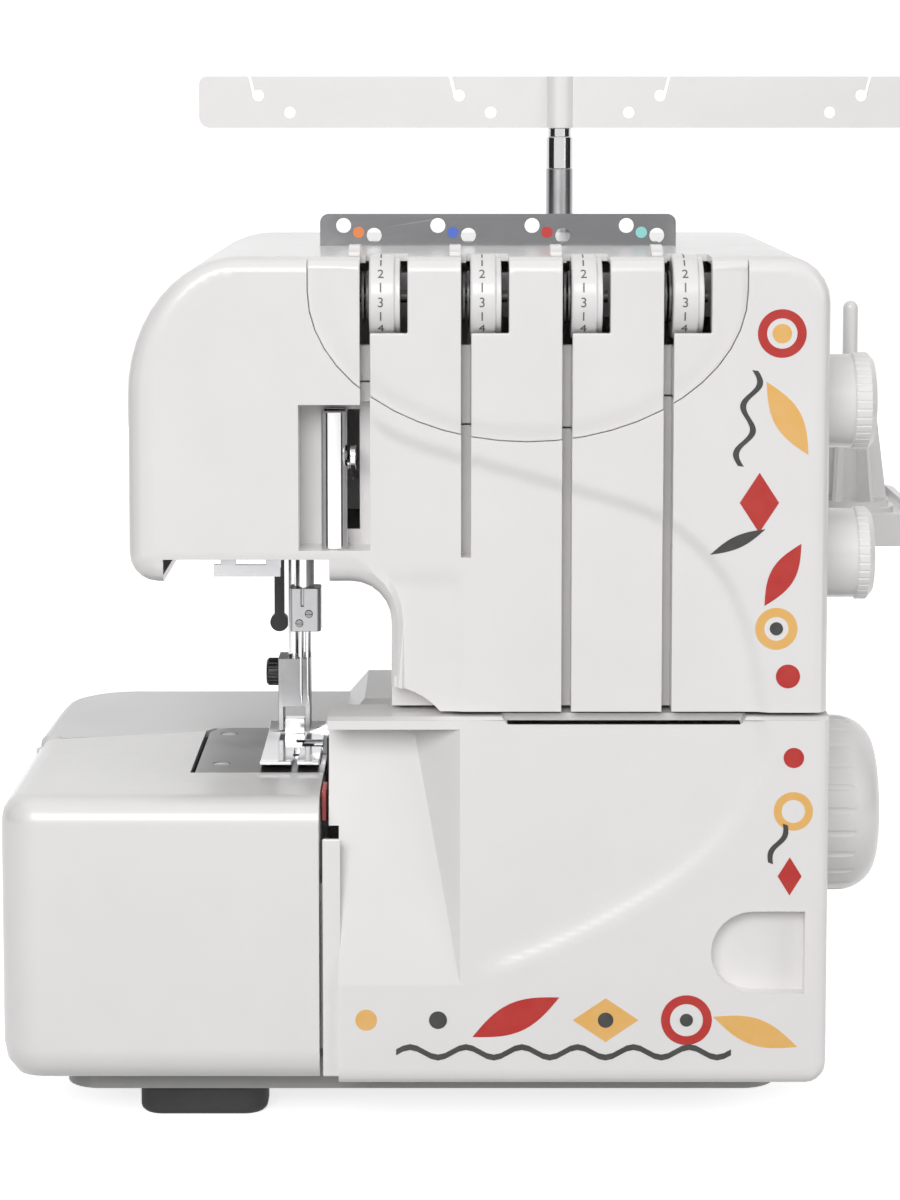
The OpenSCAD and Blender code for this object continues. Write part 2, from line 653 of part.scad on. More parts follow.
// Wedge of the scoop, grown by g: its floor falls away from the rim down to the face, and its
// right side is a flat flank at 45 degrees
module scoop(g) {
    d = scoop_depth + g;
    x0 = scoop_x0 - 8;
    x1 = scoop_x1 + g;
    z0 = scoop_z0 - 2 * g;
    z_low = z0 - (scoop_z1 - z0) / d;
    polyhedron(points = [[x0, y_front - 1, z_low], [x1 + 1, y_front - 1, z_low],
        [x1 + 1, y_front - 1, scoop_z1], [x0, y_front - 1, scoop_z1],
        [x0, y_front + d, scoop_z1], [x1 - d, y_front + d, scoop_z1]],
        faces = [[3, 2, 1, 0], [4, 5, 2, 3], [4, 3, 0], [1, 5, 4, 0], [2, 5, 1]]);
}
module looper_cover() {
    soft = 3.5;
    rings = concat([for (a = quarter(4))
        [for (p = cover_outline(soft * (1 - sin(a)))) [p[0], y_front + soft * (1 - cos(a)), p[1]]]],
        [[for (p = cover_outline(0)) [p[0], wrap_y, p[1]]]]);
    c = [arch_x, skirt_z + 60];
    color(white) difference() {
        union() {
            difference() {
                skin(rings, [c[0], y_front, c[1]], [c[0], wrap_y, c[1]]);
                plate_xz(y_front + wall, 40) offset(delta = -wall)
                    union() {
                        polygon(cover_outline(0));
                        translate([scoop_x0 - 20, skirt_z]) square([60, looper_top - skirt_z]);
                    }
                // lower lip and side wrap are cut back, clear of the base as the cover drops
                block([scoop_x0 - 9, y_front + 5, skirt_z - 1], [lc_x1 - wall - 0.5, wrap_y + 1, rod_z + 8]);
                plate_yz(lc_x1 - wall - 1, wall + 2)
                    polygon([[wrap_y + 1, skirt_z - 1], [wrap_y + 1, skirt_z + 28],
                        [wrap_y, skirt_z + 26], [y_front + 11, skirt_z - 1]]);
            }
            intersection() {
                difference() {
                    scoop(wall);
                    block([scoop_x0 - 20, y_front - 2, 0], [low_x0, wrap_y, skirt_z + 86]);
                }
                block([scoop_x0, y_front + 0.5, skirt_z], [lc_x1, wrap_y, looper_top - 0.5]);
            }
            // pocket of the thumb recess
            intersection() {
                plate_xz(y_front + 1, 8) offset(delta = 2) recess_shape();
                block([col_x0, y_front + 1, skirt_z + 5], [lc_x1 - 1, y_front + 9, looper_top]);
            }
            // hinge knuckles
            for (x = [lug_x[0] + lug_w + 14, lug_x[1] - 26]) {
                rod_x(x, rod_y, rod_z, 10, 2 * rod_d);
                block([x, y_front + 1, rod_z - 4], [x + 10, rod_y, rod_z + 4]);
            }
        }
        scoop(0);
        plate_xz(y_front - 1, 7) recess_shape();
        plate_xz(y_front - 1, 9) polygon([[grip_x0, looper_top + 1], [grip_x0 + 3, looper_top - 2.7],
            [grip_x0 + grip_w - 3, looper_top - 2.7], [grip_x0 + grip_w, looper_top + 1]]);
        rod_x(rod_x0, rod_y, rod_z, rod_len, rod_d + 2 * run);
    }
}
// Thumb recess: round on the left, square on the right
module recess_shape() {
    translate(recess_c) intersection() {
        polygon(concat([[17.3, -14], [17.3, 14]], arc([0, 0], 14, 14, 90, 270, 12)));
        square(60, center = true);
    }
}
module looper_cover_rod() {
    color(steel) rod_x(rod_x0, rod_y, rod_z, rod_len, rod_d);
}

// ---- Needle plate, knives, loopers and feed dogs -----------------------------------------
knife_y0 = y_front + 55;
knife_y1 = y_front + 71;
dog_x0 = needle_x - 14;
dog_w = 10;
main_dog_y = [needle_y + 10, needle_y + 25];
diff_dog_y = [needle_y - 24, needle_y - 11];
feed_travel = 2;
dog_bar_z = plate_z0 - 17.7;

module needle_plate() {
    color(steel) difference() {
        translate([0, 0, plate_z0]) linear_extrude(needle_plate_t)
            polygon(concat([[plate_x1, plate_y0], [plate_x1, plate_y1]],
                arc([plate_x0 + 9, plate_y1 - 9], 9, 9, 90, 180, 6), [[plate_x0, plate_y0]]));
        // needle opening and feed dog slots
        block([needle_x - 3, needle_y - 2.5, plate_z0 - 1], [needle_x + 3, needle_y + 2.5, bed_z + 1]);
        for (y = [main_dog_y, diff_dog_y], x = [dog_x0, dog_x0 + 6])
            block([x - 0.4, y[0] - feed_travel - 0.5, plate_z0 - 1],
                [x + 4.4, y[1] + feed_travel + 0.5, bed_z + 1]);
        block([plate_x1 - 2, knife_y0 - 0.5, plate_z0 - 1], [plate_x1 + 1, knife_y1 + 0.5, bed_z + 1]);
        for (p = post_xy) {
            rod_z(p[0], p[1], plate_z0 - 1, needle_plate_t + 2, 3.2);
            rod_z(p[0], p[1], bed_z - 1, 2, 6.2);
        }
    }
}

module cover_screws() {
    color(steel) {
        for (p = post_xy) difference() {
            union() {
                rod_z(p[0], p[1], bed_z - 1, 0.9, 6);
                rod_z(p[0], p[1], plate_z0 - 8, bed_z - plate_z0 + 7.5, 3);
            }
            block([p[0] - 3.5, p[1] - 0.5, bed_z - 0.6], [p[0] + 3.5, p[1] + 0.5, bed_z]);
        }
        // bed screw beside the column
        difference() {
            union() {
                rod_z(col_x0 - 6.3, y_split + 42, bed_z, 1.2, 6);
                rod_z(col_x0 - 6.3, y_split + 42, bed_z - wall, wall + 0.1, 3);
            }
            block([col_x0 - 10, y_split + 41.5, bed_z + 0.6], [col_x0 - 2, y_split + 42.5, bed_z + 2]);
        }
        // rear cover screws
        for (p = [[col_x0 + 14, deck_z + 20], [col_x1 - 14, deck_z + 20], [col_x1 - 20, body_h - 20],
                [head_x0 + 30, body_h - 42]])
            rod_y(p[0], y_rear, p[1], 1.5, 8);
    }
}

module lower_knife() {
    color(chrome) plate_yz(plate_x1 - 1.8, 1.6)
        polygon([[knife_y0, bed_z - 28], [knife_y1, bed_z - 28], [knife_y1, bed_z - 0.3],
            [knife_y0, bed_z - 0.3]]);
}

module upper_knife() {
    color(dark) difference() {
        union() {
            rod_x(x_plate + 2.7, knife_pivot[0], knife_pivot[1], 7, 12);
            plate_yz(x_plate + 2.3, 3.4) hull() {
                translate(knife_pivot) circle(5.5);
                translate([knife_y0 + 4, bed_z + 1]) circle(5);
            }
        }
        rod_x(x_plate, knife_pivot[0], knife_pivot[1], 14, pivot_d + 2 * run);
    }
    color(chrome) plate_yz(x_plate + 0.5, 1.8)
        polygon([[knife_y0 + 1, bed_z - 12], [knife_y1 - 4, bed_z - 12], [knife_y1 - 4, bed_z + 5],
            [knife_y0 + 1, bed_z + 9]]);
}

module pivot_shafts() {
    color(steel) {
        rod_y(upper_pivot[0], y_front + 58, upper_pivot[1], 20.7, pivot_d);
        rod_y(lower_pivot[0], y_front + 80, lower_pivot[1], 20, pivot_d);
        rod_x(x_plate + 2.5, knife_pivot[0], knife_pivot[1], 22, pivot_d);
    }
}

// Curved looper blade about its pivot, from angle a0 to a1, with its arm at a0
module looper(c, r, blade_t, y, t, a0, a1, hub) {
    difference() {
        union() {
            plate_xz(y, t) {
                polygon(concat(arc(c, r, r, a0, a1, 10), arc(c, r - blade_t, r - blade_t, a1 - 5, a0, 10)));
                translate(c) rotate(a0) translate([0, -2.5]) square([r - 1, 5]);
            }
            rod_y(c[0], y - 0.8, c[1], hub, 14);
        }
        rod_y(c[0], y - 2, c[1], hub + 4, pivot_d + 2 * run);
    }
}
module upper_looper() {
    color(chrome) looper(upper_pivot, 61.5, 3.5, y_front + 74, 3, 92, 115, 4.6);
}
module lower_looper() {
    color(chrome) looper(lower_pivot, 58, 3, y_front + 81.5, 2.3, 92, 130, 5);
}

// Toothed feed dog with its bar; the rows of teeth run to the back
module feed_dog(y, pitch) {
    n = floor((y[1] - y[0]) / pitch);
    color(steel) {
        for (x = [dog_x0, dog_x0 + 6])
            plate_yz(x, 4) polygon(concat(
                [[y[0] + n * pitch, plate_z0 - 6], [y[0], plate_z0 - 6]],
                [for (k = [0 : n - 1]) each [[y[0] + k * pitch, bed_z - 1.3],
                    [y[0] + (k + 0.7) * pitch, bed_z - 0.3]]],
                [[y[0] + n * pitch, bed_z - 1.3]]));
        block([dog_x0 - 9.6, y[0] + 2, dog_bar_z], [dog_x0 + 10, y[0] + 10, plate_z0 - 6 + eps]);
    }
}
module main_feed_dog() {
    feed_dog(main_dog_y, 1.5);
}
module diff_feed_dog() {
    feed_dog(diff_dog_y, 1.5);
}

stitch_y0 = y_front + 15;
module stitch_finger_lever() {
    color([0.80, 0.20, 0.22]) difference() {
        block([x_plate + gap, stitch_y0, bed_z - 10.7], [x_plate + 2, stitch_y0 + 14, bed_z - 0.4]);
        for (k = [0 : 3])
            block([x_plate, stitch_y0 + 2 + 2.5 * k, bed_z - 1.2],
                [x_plate + 3, stitch_y0 + 3 + 2.5 * k, bed_z]);
    }
}

// ---- Drive ---------------------------------------------------------------------------
belt_a = [shaft_y, shaft_z];
belt_b = [motor_y, motor_z];
// Toothed pulley profile of radius r with n teeth
module toothed(r, n) {
    difference() {
        circle(r);
        for (k = [0 : n - 1]) rotate(360 * k / n) translate([r, 0]) circle(d = 1.6, $fn = 8);
    }
}
module main_shaft() {
    color(steel) {
        rod_x(wall_b - 6, shaft_y, shaft_z, col_x1 - wall_b + 6 + 8, shaft_d);
        rod_x(wall_b - 6, shaft_y, shaft_z, 5, shaft_d + 10);
        translate([wall_b + 22, shaft_y + 2.5, shaft_z]) rotate([0, 90, 0]) cylinder(r = 12, h = 8);
        translate([wall_b + 44, shaft_y - 2.5, shaft_z]) rotate([0, 90, 0]) cylinder(r = 12, h = 8);
    }
}
module shaft_pulley() {
    color(dark) difference() {
        plate_yz(pulley_x, belt_w) translate(belt_a) toothed(pulley_r, 48);
        rod_x(pulley_x - 1, shaft_y, shaft_z, belt_w + 2, shaft_d);
    }
}
module motor_pulley() {
    color(dark) plate_yz(pulley_x, belt_w) translate(belt_b) toothed(motor_pulley_r, 16);
    color(steel) rod_x(wall_a - 20, motor_y, motor_z, frame_t + 23, 6);
    color(steel) rod_x(pulley_x + belt_w - 1, motor_y, motor_z, 3, 6);
}
module drive_belt() {
    color([0.1, 0.1, 0.1]) plate_yz(pulley_x + 0.5, belt_w - 1) difference() {
        hull() {
            translate(belt_a) circle(pulley_r + belt_t + 0.2);
            translate(belt_b) circle(motor_pulley_r + belt_t + 0.2);
        }
        hull() {
            translate(belt_a) circle(pulley_r + 0.2);
            translate(belt_b) circle(motor_pulley_r + 0.2);
        }
    }
}
module motor() {
    color(steel) difference() {
        union() {
            rod_x(wall_a - motor_len, motor_y, motor_z, motor_len, 2 * motor_r);
            rod_x(wall_a - motor_len - 6, motor_y, motor_z, 7, 18);
        }
        rod_x(wall_a - 24, motor_y, motor_z, 25, 6 + 2 * run);
        for (k = [0 : 7])
            translate([wall_a - motor_len + 12, motor_y, motor_z]) rotate([45 * k, 0, 0])
                translate([0, -2, motor_r - 3]) cube([24, 4, 5]);
    }
}

// Finger-grooved knob turned about X; profile is a list of [radius, length] points
module knob(x, y, z, profile, r, grooves, groove_d) {
    translate([x, y, z]) rotate([0, 90, 0]) difference() {
        rotate_extrude($fn = 72) polygon(profile);
        for (k = [0 : grooves - 1]) rotate(360 * (k + 0.5) / grooves)
            translate([r + groove_d * 0.3, 0, -1]) cylinder(d = groove_d, h = 60, $fn = 16);
    }
}
module handwheel() {
    w = wheel_w;
    r = wheel_r;
    color(white) difference() {
        knob(col_x1 + 1.5, shaft_y, shaft_z, concat([[0, 0], [r - 1.5, 0], [r, 1.5], [r, w * 0.42]],
            arc([r * 0.62, w * 0.42], r * 0.38, w * 0.58, 0, 90, 8), [[0, w]]), r, 24, 3);
        rod_x(col_x1, shaft_y, shaft_z, 9.5, shaft_d);
    }
}
module side_dial(z, r, x_drum) {
    color(white) {
        knob(col_x1 + 0.5, side_dial_y, z, [[0, 0], [r, 0], [r, x_drum], [r + 0.6, x_drum + 0.6],
            [r + 0.6, side_dial_w - 2], [r - 1.5, side_dial_w], [r - 4, side_dial_w],
            [r - 5, side_dial_w - 1], [0, side_dial_w - 1]], r + 0.6, 36, 1.2);
        rod_x(wall_a - 3, side_dial_y, z, col_x1 - wall_a + 4, dial_shaft_d);
    }
}
module stitch_length_dial() {
    side_dial(length_dial_z, length_dial_r, 10.5);
}
module differential_dial() {
    side_dial(diff_dial_z, diff_dial_r, 12);
}

// ---- Thread tension ------------------------------------------------------------------
module tension_dial(i) {
    x = slot_x[i] + dial_off;
    color([0.95, 0.95, 0.94]) difference() {
        translate([x, dial_y, dial_z]) rotate([0, 90, 0]) rotate_extrude($fn = 72)
            polygon([[axle_d / 2 + run, 0], [dial_r - 0.6, 0], [dial_r, 0.6], [dial_r, dial_w - 2],
                [dial_r - 1, dial_w - 1.6], [dial_r - 1, dial_w], [axle_d / 2 + run, dial_w]]);
        for (k = [0 : 23])
            translate([x + dial_w - 1.6, dial_y, dial_z]) rotate([15 * k, 0, 0])
                translate([0, 0, dial_r]) rotate([0, 90, 0]) cylinder(d = 1.4, h = 4, $fn = 12);
    }
}
module tension_dial_1() {
    tension_dial(0);
}
module tension_dial_2() {
    tension_dial(1);
}
module tension_dial_3() {
    tension_dial(2);
}
module tension_dial_4() {
    tension_dial(3);
}
// Axle, pair of discs and bracket of each thread tension
module tension_units() {
    color(steel) for (x = slot_x) {
        rod_x(x - 7, dial_y, dial_z, dial_off + dial_w + 9.2, axle_d);
        for (s = [-1.1, 0.4]) rod_x(x + s, dial_y, dial_z, 0.7, 17);
        block([x - 8.6, dial_y - 5, dial_z - 6], [x - 6.8, rail_y, dial_z + 6]);
        rod_x(x - 6.9, dial_y, dial_z, 4.4, 9);
    }
}

// White hooks that lead the threads into the slots
module thread_hooks() {
    color(white) for (x = slot_x) {
        difference() {
            block([x - 5.5, y_col + 7, body_h], [x - slot_w / 2, y_col + 17, body_h + 3.5]);
            rod_x(x - 8, y_col + 7, body_h + 6, 12, 9);
        }
    }
}

guide_x0 = col_x0 - 26.4;
guide_w = 125.7;
guide_y = y_split - 1;
module thread_guide_plate() {
    color(steel) {
        plate_xz(guide_y, 1.2) difference() {
            translate([guide_x0, body_h]) intersection() {
                translate([0, -4]) offset(r = 3, $fn = 24) translate([3, 3])
                    square([guide_w - 6, guide_plate_h - 2]);
                square([guide_w, guide_plate_h]);
            }
            for (x = slot_x) {
                translate([x - 9.6, body_h + guide_plate_h - 4.1]) circle(d = 5.3);
                translate([x + 1.2, body_h + guide_plate_h - 7.6]) circle(d = 5.3);
            }
        }
        block([guide_x0 + 6, guide_y + 1, body_h], [guide_x0 + guide_w - 6, guide_y + 9, body_h + 1.2]);
    }
}

module needle_thread_guide() {
    color(steel) {
        block([needle_x - 26.3, y_col + wall, notch_z - 6], [needle_x - 4.2, y_col + wall + 1.2, notch_z - 2]);
        for (x = [needle_x - 24, needle_x - 9])
            block([x, y_col + wall, notch_z - 3], [x + 5, y_col + wall + 1.2, notch_z + 9]);
    }
}

module takeup_lever() {
    color(chrome) {
        plate_yz(takeup_x + 0.2, 1.8) difference() {
            hull() {
                translate(takeup_pivot) circle(5);
                translate([y_col + 6, takeup_pivot[1] + 6]) circle(3.5);
            }
            translate([y_col + 6, takeup_pivot[1] + 6]) circle(1.6);
        }
        rod_x(slot_x[0] - 13, takeup_pivot[0], takeup_pivot[1], 8.5, 5);
    }
}
module takeup_cover() {
    x0 = slot_x[0] - 14.7;
    color(chrome) difference() {
        translate([0, 0, recess_z0]) linear_extrude(recess_z1 - recess_z0 - 2.4)
            polygon(concat([[x0 + 8.7, y_col + recess_d], [x0, y_col + recess_d]],
                arc([x0 + 4.35, y_col + 6], 4.35, 4, 180, 360, 10)));
        block([x0 + 1, y_col + 6, recess_z0 - 1], [x0 + 7.7, y_col + recess_d - 1, recess_z1]);
    }
}

// ---- Needle bar and presser foot ----------------------------------------------------------
clamp_z = bed_z + 43.1;
clamp_h = 15.5;
needle_stroke = 27;
presser_lift = 6;
holder_z = bed_z + 7;
module needle_bar() {
    color(chrome) {
        rod_z(needle_x, needle_y, clamp_z + clamp_h - 6, body_h - 5 - clamp_z - clamp_h + 6, needle_bar_d);
        rod_z(needle_x, needle_y, bush_high - 21, 10, needle_bar_d + 5);
    }
}
module needle_clamp() {
    color(steel) difference() {
        translate([0, 0, clamp_z]) linear_extrude(clamp_h)
            round_rect([needle_x - 5, needle_y - 5], [needle_x + 6, needle_y + 5], 1.5);
        rod_z(needle_x, needle_y, clamp_z + clamp_h - 6, 7, needle_bar_d);
        for (s = [-0.5, 0.5])
            rod_z(needle_x + s * needle_pitch, needle_y, clamp_z - 1, 9, needle_d);
        for (p = [[-1.6, 3], [1.8, 6.4]])
            rod_y(needle_x + p[0], needle_y - 6, clamp_z + p[1], 4, 2.6);
        block([needle_x - 1, needle_y - 6, clamp_z + 9], [needle_x, needle_y - 3.6, clamp_z + clamp_h + 1]);
    }
}
module needles() {
    color(chrome) for (s = [-0.5, 0.5]) translate([needle_x + s * needle_pitch, needle_y, 0]) {
        translate([0, 0, clamp_z - 10]) cylinder(d = needle_d, h = 18);
        translate([0, 0, clamp_z - 24]) cylinder(d = 1.1, h = 14.1);
        translate([0, 0, clamp_z - 27]) cylinder(d1 = 0.2, d2 = 1.1, h = 3.05);
    }
}
module clamp_screws() {
    color(dark) for (p = [[-1.6, 3], [1.8, 6.4]]) difference() {
        rod_y(needle_x + p[0], needle_y - 5.4, clamp_z + p[1], 3.4, 2.6);
        block([needle_x + p[0] - 2, needle_y - 6, clamp_z + p[1] - 0.25],
            [needle_x + p[0] + 2, needle_y - 4.8, clamp_z + p[1] + 0.25]);
    }
}

bracket_z = lever_z + lever_hub_r + 0.6;
bracket_h = 6;
module presser_bar() {
    color(chrome) {
        union() {
            rod_z(foot_x, foot_y, holder_z + 11, bush_high + 24 - holder_z - 11, presser_bar_d);
            block([lever_x - 11.2, foot_y - 3, bracket_z], [foot_x + 3.5, foot_y + 3, bracket_z + bracket_h]);
            block([lever_x - 11.2, foot_y - 3, lever_z + 2], [lever_x - 6.2, foot_y + 3, bracket_z + 1]);
        }
    }
}
// Closed wire coil between the bracket and the upper bush
spring_turns = 6;
spring_steps = 12;
module presser_spring() {
    z0 = bracket_z + bracket_h + 1.1;
    h = bush_high - z0 - 1.2;
    n = spring_turns * spring_steps;
    r = presser_bar_d / 2 + 2;
    wire_r = 0.8;
    sides = 6;
    pts = [for (k = [0 : n]) let (a = 360 * k / spring_steps, z = z0 + h * k / n)
        for (j = [0 : sides - 1]) let (b = 360 * j / sides)
        [foot_x + (r + wire_r * cos(b)) * cos(a), foot_y + (r + wire_r * cos(b)) * sin(a),
            z + wire_r * sin(b)]];
    faces = concat(
        [for (k = [0 : n - 1]) for (j = [0 : sides - 1]) let (a = k * sides + j,
            b = k * sides + (j + 1) % sides) each [[a, b, b + sides], [a, b + sides, a + sides]]],
        [[for (j = [0 : sides - 1]) sides - 1 - j], [for (j = [0 : sides - 1]) n * sides + j]]);
    color(steel) polyhedron(points = pts, faces = faces);
}
module presser_lifter() {
    color(dark) difference() {
        union() {
            rod_y(lever_x, arm_y - 8, lever_z, arm_t + 12.5, pivot_d);
            plate_xz(arm_y + arm_t + 0.4, 3.6) {
                translate([lever_x, lever_z]) circle(6);
                translate([lever_x - 1.8, bed_z + 37]) square([3.6, lever_z - bed_z - 37]);
                translate([lever_x, bed_z + 40]) circle(3.4);
            }
            plate_xz(arm_y - 8, 7) hull() {
                translate([lever_x, lever_z]) circle(lever_hub_r);
                translate([lever_x - 10.5, lever_z - 1]) circle(1.6);
            }
        }
        rod_y(lever_x, arm_y - 9, lever_z, 3, 2);
    }
}
module foot_holder() {
    color([0.35, 0.35, 0.36]) difference() {
        block([foot_x - 5.7, foot_y - 7, holder_z - 2.5], [foot_x + 5.7, foot_y + 6, bed_z + 30.7]);
        rod_z(foot_x, foot_y, holder_z + 11, 40, presser_bar_d);
        block([foot_x - 3.9, foot_y - 8, holder_z - 5], [foot_x + 3.9, foot_y + 7, holder_z + 6]);
        rod_x(foot_x - 7, foot_y - 1, bed_z + 6, 14, 2);
        rod_x(foot_x - 7, foot_y, bed_z + 24.7, 4, 3);
    }
}
module foot_thumb_screw() {
    color(dark) {
        knob(foot_x - 10.2, foot_y, bed_z + 24.7, [[0, 0], [4.2, 0], [5, 0.8], [5, 4.2], [0, 4.2]], 5, 20, 1);
        rod_x(foot_x - 6.1, foot_y, bed_z + 24.7, 3, 3);
    }
}
sole_z = bed_z + 0.3;
module presser_foot() {
    x0 = foot_x - 9.7;
    x1 = foot_x + 10.7;
    color(chrome) difference() {
        union() {
            plate_yz(x0, x1 - x0) polygon([[needle_y - 36, sole_z + 1.6], [needle_y - 30, sole_z],
                [needle_y + 15, sole_z], [needle_y + 28, sole_z + 2], [needle_y + 28, sole_z + 3.6],
                [needle_y + 15, sole_z + 2.2], [needle_y - 30, sole_z + 2.2], [needle_y - 36, sole_z + 2.8]]);
            block([foot_x - 3.6, foot_y - 3.5, sole_z + 1], [foot_x + 3.6, foot_y + 1.5, bed_z + 8]);
        }
        // needle opening, looper notch and the slit between the toes
        block([needle_x - 3, needle_y - 2.5, sole_z - 1], [x1 + 1, needle_y + 2.5, sole_z + 5]);
        block([needle_x - 0.6, needle_y - 9, sole_z - 1], [x1 + 1, needle_y - 2, sole_z + 5]);
        block([foot_x + 1.2, needle_y - 37, sole_z - 1], [foot_x + 3.2, needle_y - 12, sole_z + 5]);
        rod_x(foot_x - 5, foot_y - 1, bed_z + 6, 10, 2 + 2 * run);
    }
}
module foot_pin() {
    color(steel) rod_x(foot_x - 5.7, foot_y - 1, bed_z + 6, 11.4, 2);
}

// ---- Spool stand -------------------------------------------------------------------------
pin_xy = [for (i = [0 : n_slots - 1]) [pin_x0 + i * pin_pitch, i % 3 == 0 ? pin_y_near : pin_y_far]];
module spool_tray() {
    color(white) difference() {
        translate([0, 0, tray_z0]) linear_extrude(tray_t)
            round_rect([x_right - tray_w, tray_y0], [x_right, tray_y1], 10);
        translate([0, 0, tray_top - 3]) linear_extrude(4)
            difference() {
                round_rect([x_right - tray_w + 3, tray_y0 + 3], [x_right - 3, tray_y1 - 3], 7);
                for (p = pin_xy) translate(p) circle(18);
                translate([pole_x, pole_y]) circle(pole_d);
            }
        translate([0, 0, tray_z0 - 1]) linear_extrude(tray_t - 5)
            difference() {
                round_rect([x_right - tray_w + 3, tray_y0 + 3], [x_right - 3, tray_y1 - 3], 7);
                for (p = pin_xy) translate(p) circle(pin_d);
                translate([pole_x, pole_y]) circle(pole_d);
                for (x = [x_right - tray_w + 70, x_right - 70]) translate([x, tray_y0]) square([3, 90]);
            }
        for (p = pin_xy) rod_z(p[0], p[1], tray_z0 - 1, tray_t + 2, pin_d);
        rod_z(pole_x, pole_y, tray_z0 + 3, tray_t, pole_d);
    }
}
module spool_pins() {
    color(white) for (p = pin_xy) translate([p[0], p[1], tray_z0]) rotate_extrude($fn = 48)
        polygon(concat([[0, 0], [pin_d / 2, 0], [pin_d / 2, tray_t + cone_h + gap],
            [pin_d / 2 - 0.25, tray_t + cone_h + gap + 0.5]],
            arc([0, tray_t + pin_len - 3], pin_d / 2 - 0.25, 3, 0, 90, 6)));
}
// Ribbed cone that centres a thread spool
module cone_holders() {
    r0 = 16;
    r1 = 10;
    color(pale) for (p = pin_xy) translate([p[0], p[1], tray_top]) difference() {
        union() {
            cylinder(r = r0, h = 2.5);
            cylinder(r1 = pin_d / 2 + 3.2, r2 = pin_d / 2 + 2.2, h = cone_h);
            for (k = [0 : 5]) rotate([90, 0, 60 * k]) translate([0, 0, -0.8]) linear_extrude(1.6)
                polygon([[pin_d / 2 + 1, 0], [r0 - 0.5, 0], [r1, cone_h], [pin_d / 2 + 1, cone_h]]);
        }
        translate([0, 0, -1]) cylinder(d = pin_d + 0.2, h = cone_h + 2);
    }
}
collar_h = 12.4;
neck_h = 3.6;
module tube(z0, z1, d, bore) {
    difference() {
        rod_z(pole_x, pole_y, z0, z1 - z0, d);
        rod_z(pole_x, pole_y, z0 - 1, z1 - z0 + 2, bore);
    }
}
// Outer tube, in two lengths stacked end to end
pole_half = (tray_z0 + 3 + pole_rest) / 2;
module pole_outer() {
    color(steel) {
        tube(tray_z0 + 3, pole_half - gap / 2, pole_d, pole_mid_d + 2 * run);
        tube(pole_half + gap / 2, pole_rest, pole_d, pole_mid_d + 2 * run);
    }
}
module pole_mid() {
    color(chrome) {
        tube(tray_top + 4, pole_rest + gap, pole_mid_d, pole_top_d + 2 * run);
        tube(pole_rest + 0.1, pole_rest + collar_h, pole_d, pole_top_d + 2 * run);
    }
}
bar_z = pole_rest + collar_h + neck_h;
module pole_top() {
    color(chrome) {
        rod_z(pole_x, pole_y, tray_top + 10, bar_z - tray_top - 10 + 12, pole_top_d);
        // stop ring pushed on to the rod
        tube(pole_rest + collar_h + 0.1, bar_z - 0.1, pole_mid_d, pole_top_d + 2 * run);
    }
}
eyelet_x = [for (s = [-1, 1], k = [1, 3]) s * k * pin_pitch / 2];
module guide_bar() {
    h = bar_h;
    w = bar_len / 2;
    color(white) translate([pole_x, pole_y, bar_z]) difference() {
        union() {
            translate([0, 1.3, 0]) rotate([90, 0, 0]) linear_extrude(2.6) difference() {
                polygon(concat(arc([-w + 4, 4], 4, 4, 180, 270, 3), arc([w - 4, 4], 4, 4, 270, 360, 3),
                    arc([w - 3, h - 3], 3, 3, 0, 90, 3), arc([-w + 3, h - 3], 3, 3, 90, 180, 3)));
                for (x = eyelet_x) {
                    translate([x, h - 7.4]) circle(d = 4.6);
                    translate([x + (x > 0 ? 1.6 : -1.6), h - 7.4]) rotate(x > 0 ? -14 : 14)
                        translate([-0.6, 0]) square([1.2, 12]);
                }
                for (x = eyelet_x) translate([x + (x < 0 ? 12.3 : -12.2), h - 14]) circle(d = 4.6);
            }
            cylinder(d = pole_d, h = h);
        }
        translate([0, 0, -1]) cylinder(d = pole_top_d + 2 * run, h = 13 + run);
    }
}

// ---- Electrical parts and lamp --------------------------------------------------------------
rocker = [col_x1 - 2, inlet_y + 13, switch_z + 7];
// Rocker, stored switched off
module power_switch() {
    color([0.1, 0.1, 0.1]) translate(rocker) rotate(-8) {
        translate([0, 0, -5]) linear_extrude(10)
            polygon([[-4, -4], [-4, 4], [1.5, 8.8], [3, 8.4], [1.6, 0], [3, -8.4], [1.5, -8.8]]);
        rod_z(0, 0, -6.2, 12.4, 2);
    }
}
// Mains inlet and switch frame on one face plate
module inlet_socket() {
    pocket = [8, 9.6, 5.3];
    color([0.12, 0.12, 0.12]) difference() {
        union() {
            block([col_x1 - 14, inlet_y + gap, inlet_z + gap],
                [col_x1 + 1, inlet_y + 26 - gap, inlet_z + 18 - gap]);
            block([col_x1 - 11, inlet_y + 2 + gap, switch_z + gap],
                [col_x1 + 1, inlet_y + 24 - gap, switch_z + 14 - gap]);
            block([col_x1, inlet_y - 2, inlet_z - 2], [col_x1 + 1, inlet_y + 28, switch_z + 16]);
        }
        block([col_x1 - 12, inlet_y + 3, inlet_z + 3], [col_x1 + 2, inlet_y + 23, inlet_z + 15]);
        block(rocker - pocket, rocker + pocket);
        rod_z(rocker[0], rocker[1], switch_z, 14, 2 + 2 * run);
    }
    color(chrome) for (y = [inlet_y + 8, inlet_y + 18])
        rod_x(col_x1 - 12.5, y, inlet_z + 9, 8, 2.4);
}
module lamp() {
    color(white) block([plate_x0 + 2, arm_y - 18, bush_low - 9], [plate_x0 + 12, arm_y, bush_low + 3]);
    color([1, 0.97, 0.85]) translate([plate_x0 + 7, arm_y - 9, bush_low - 9]) sphere(4, $fn = 24);
}

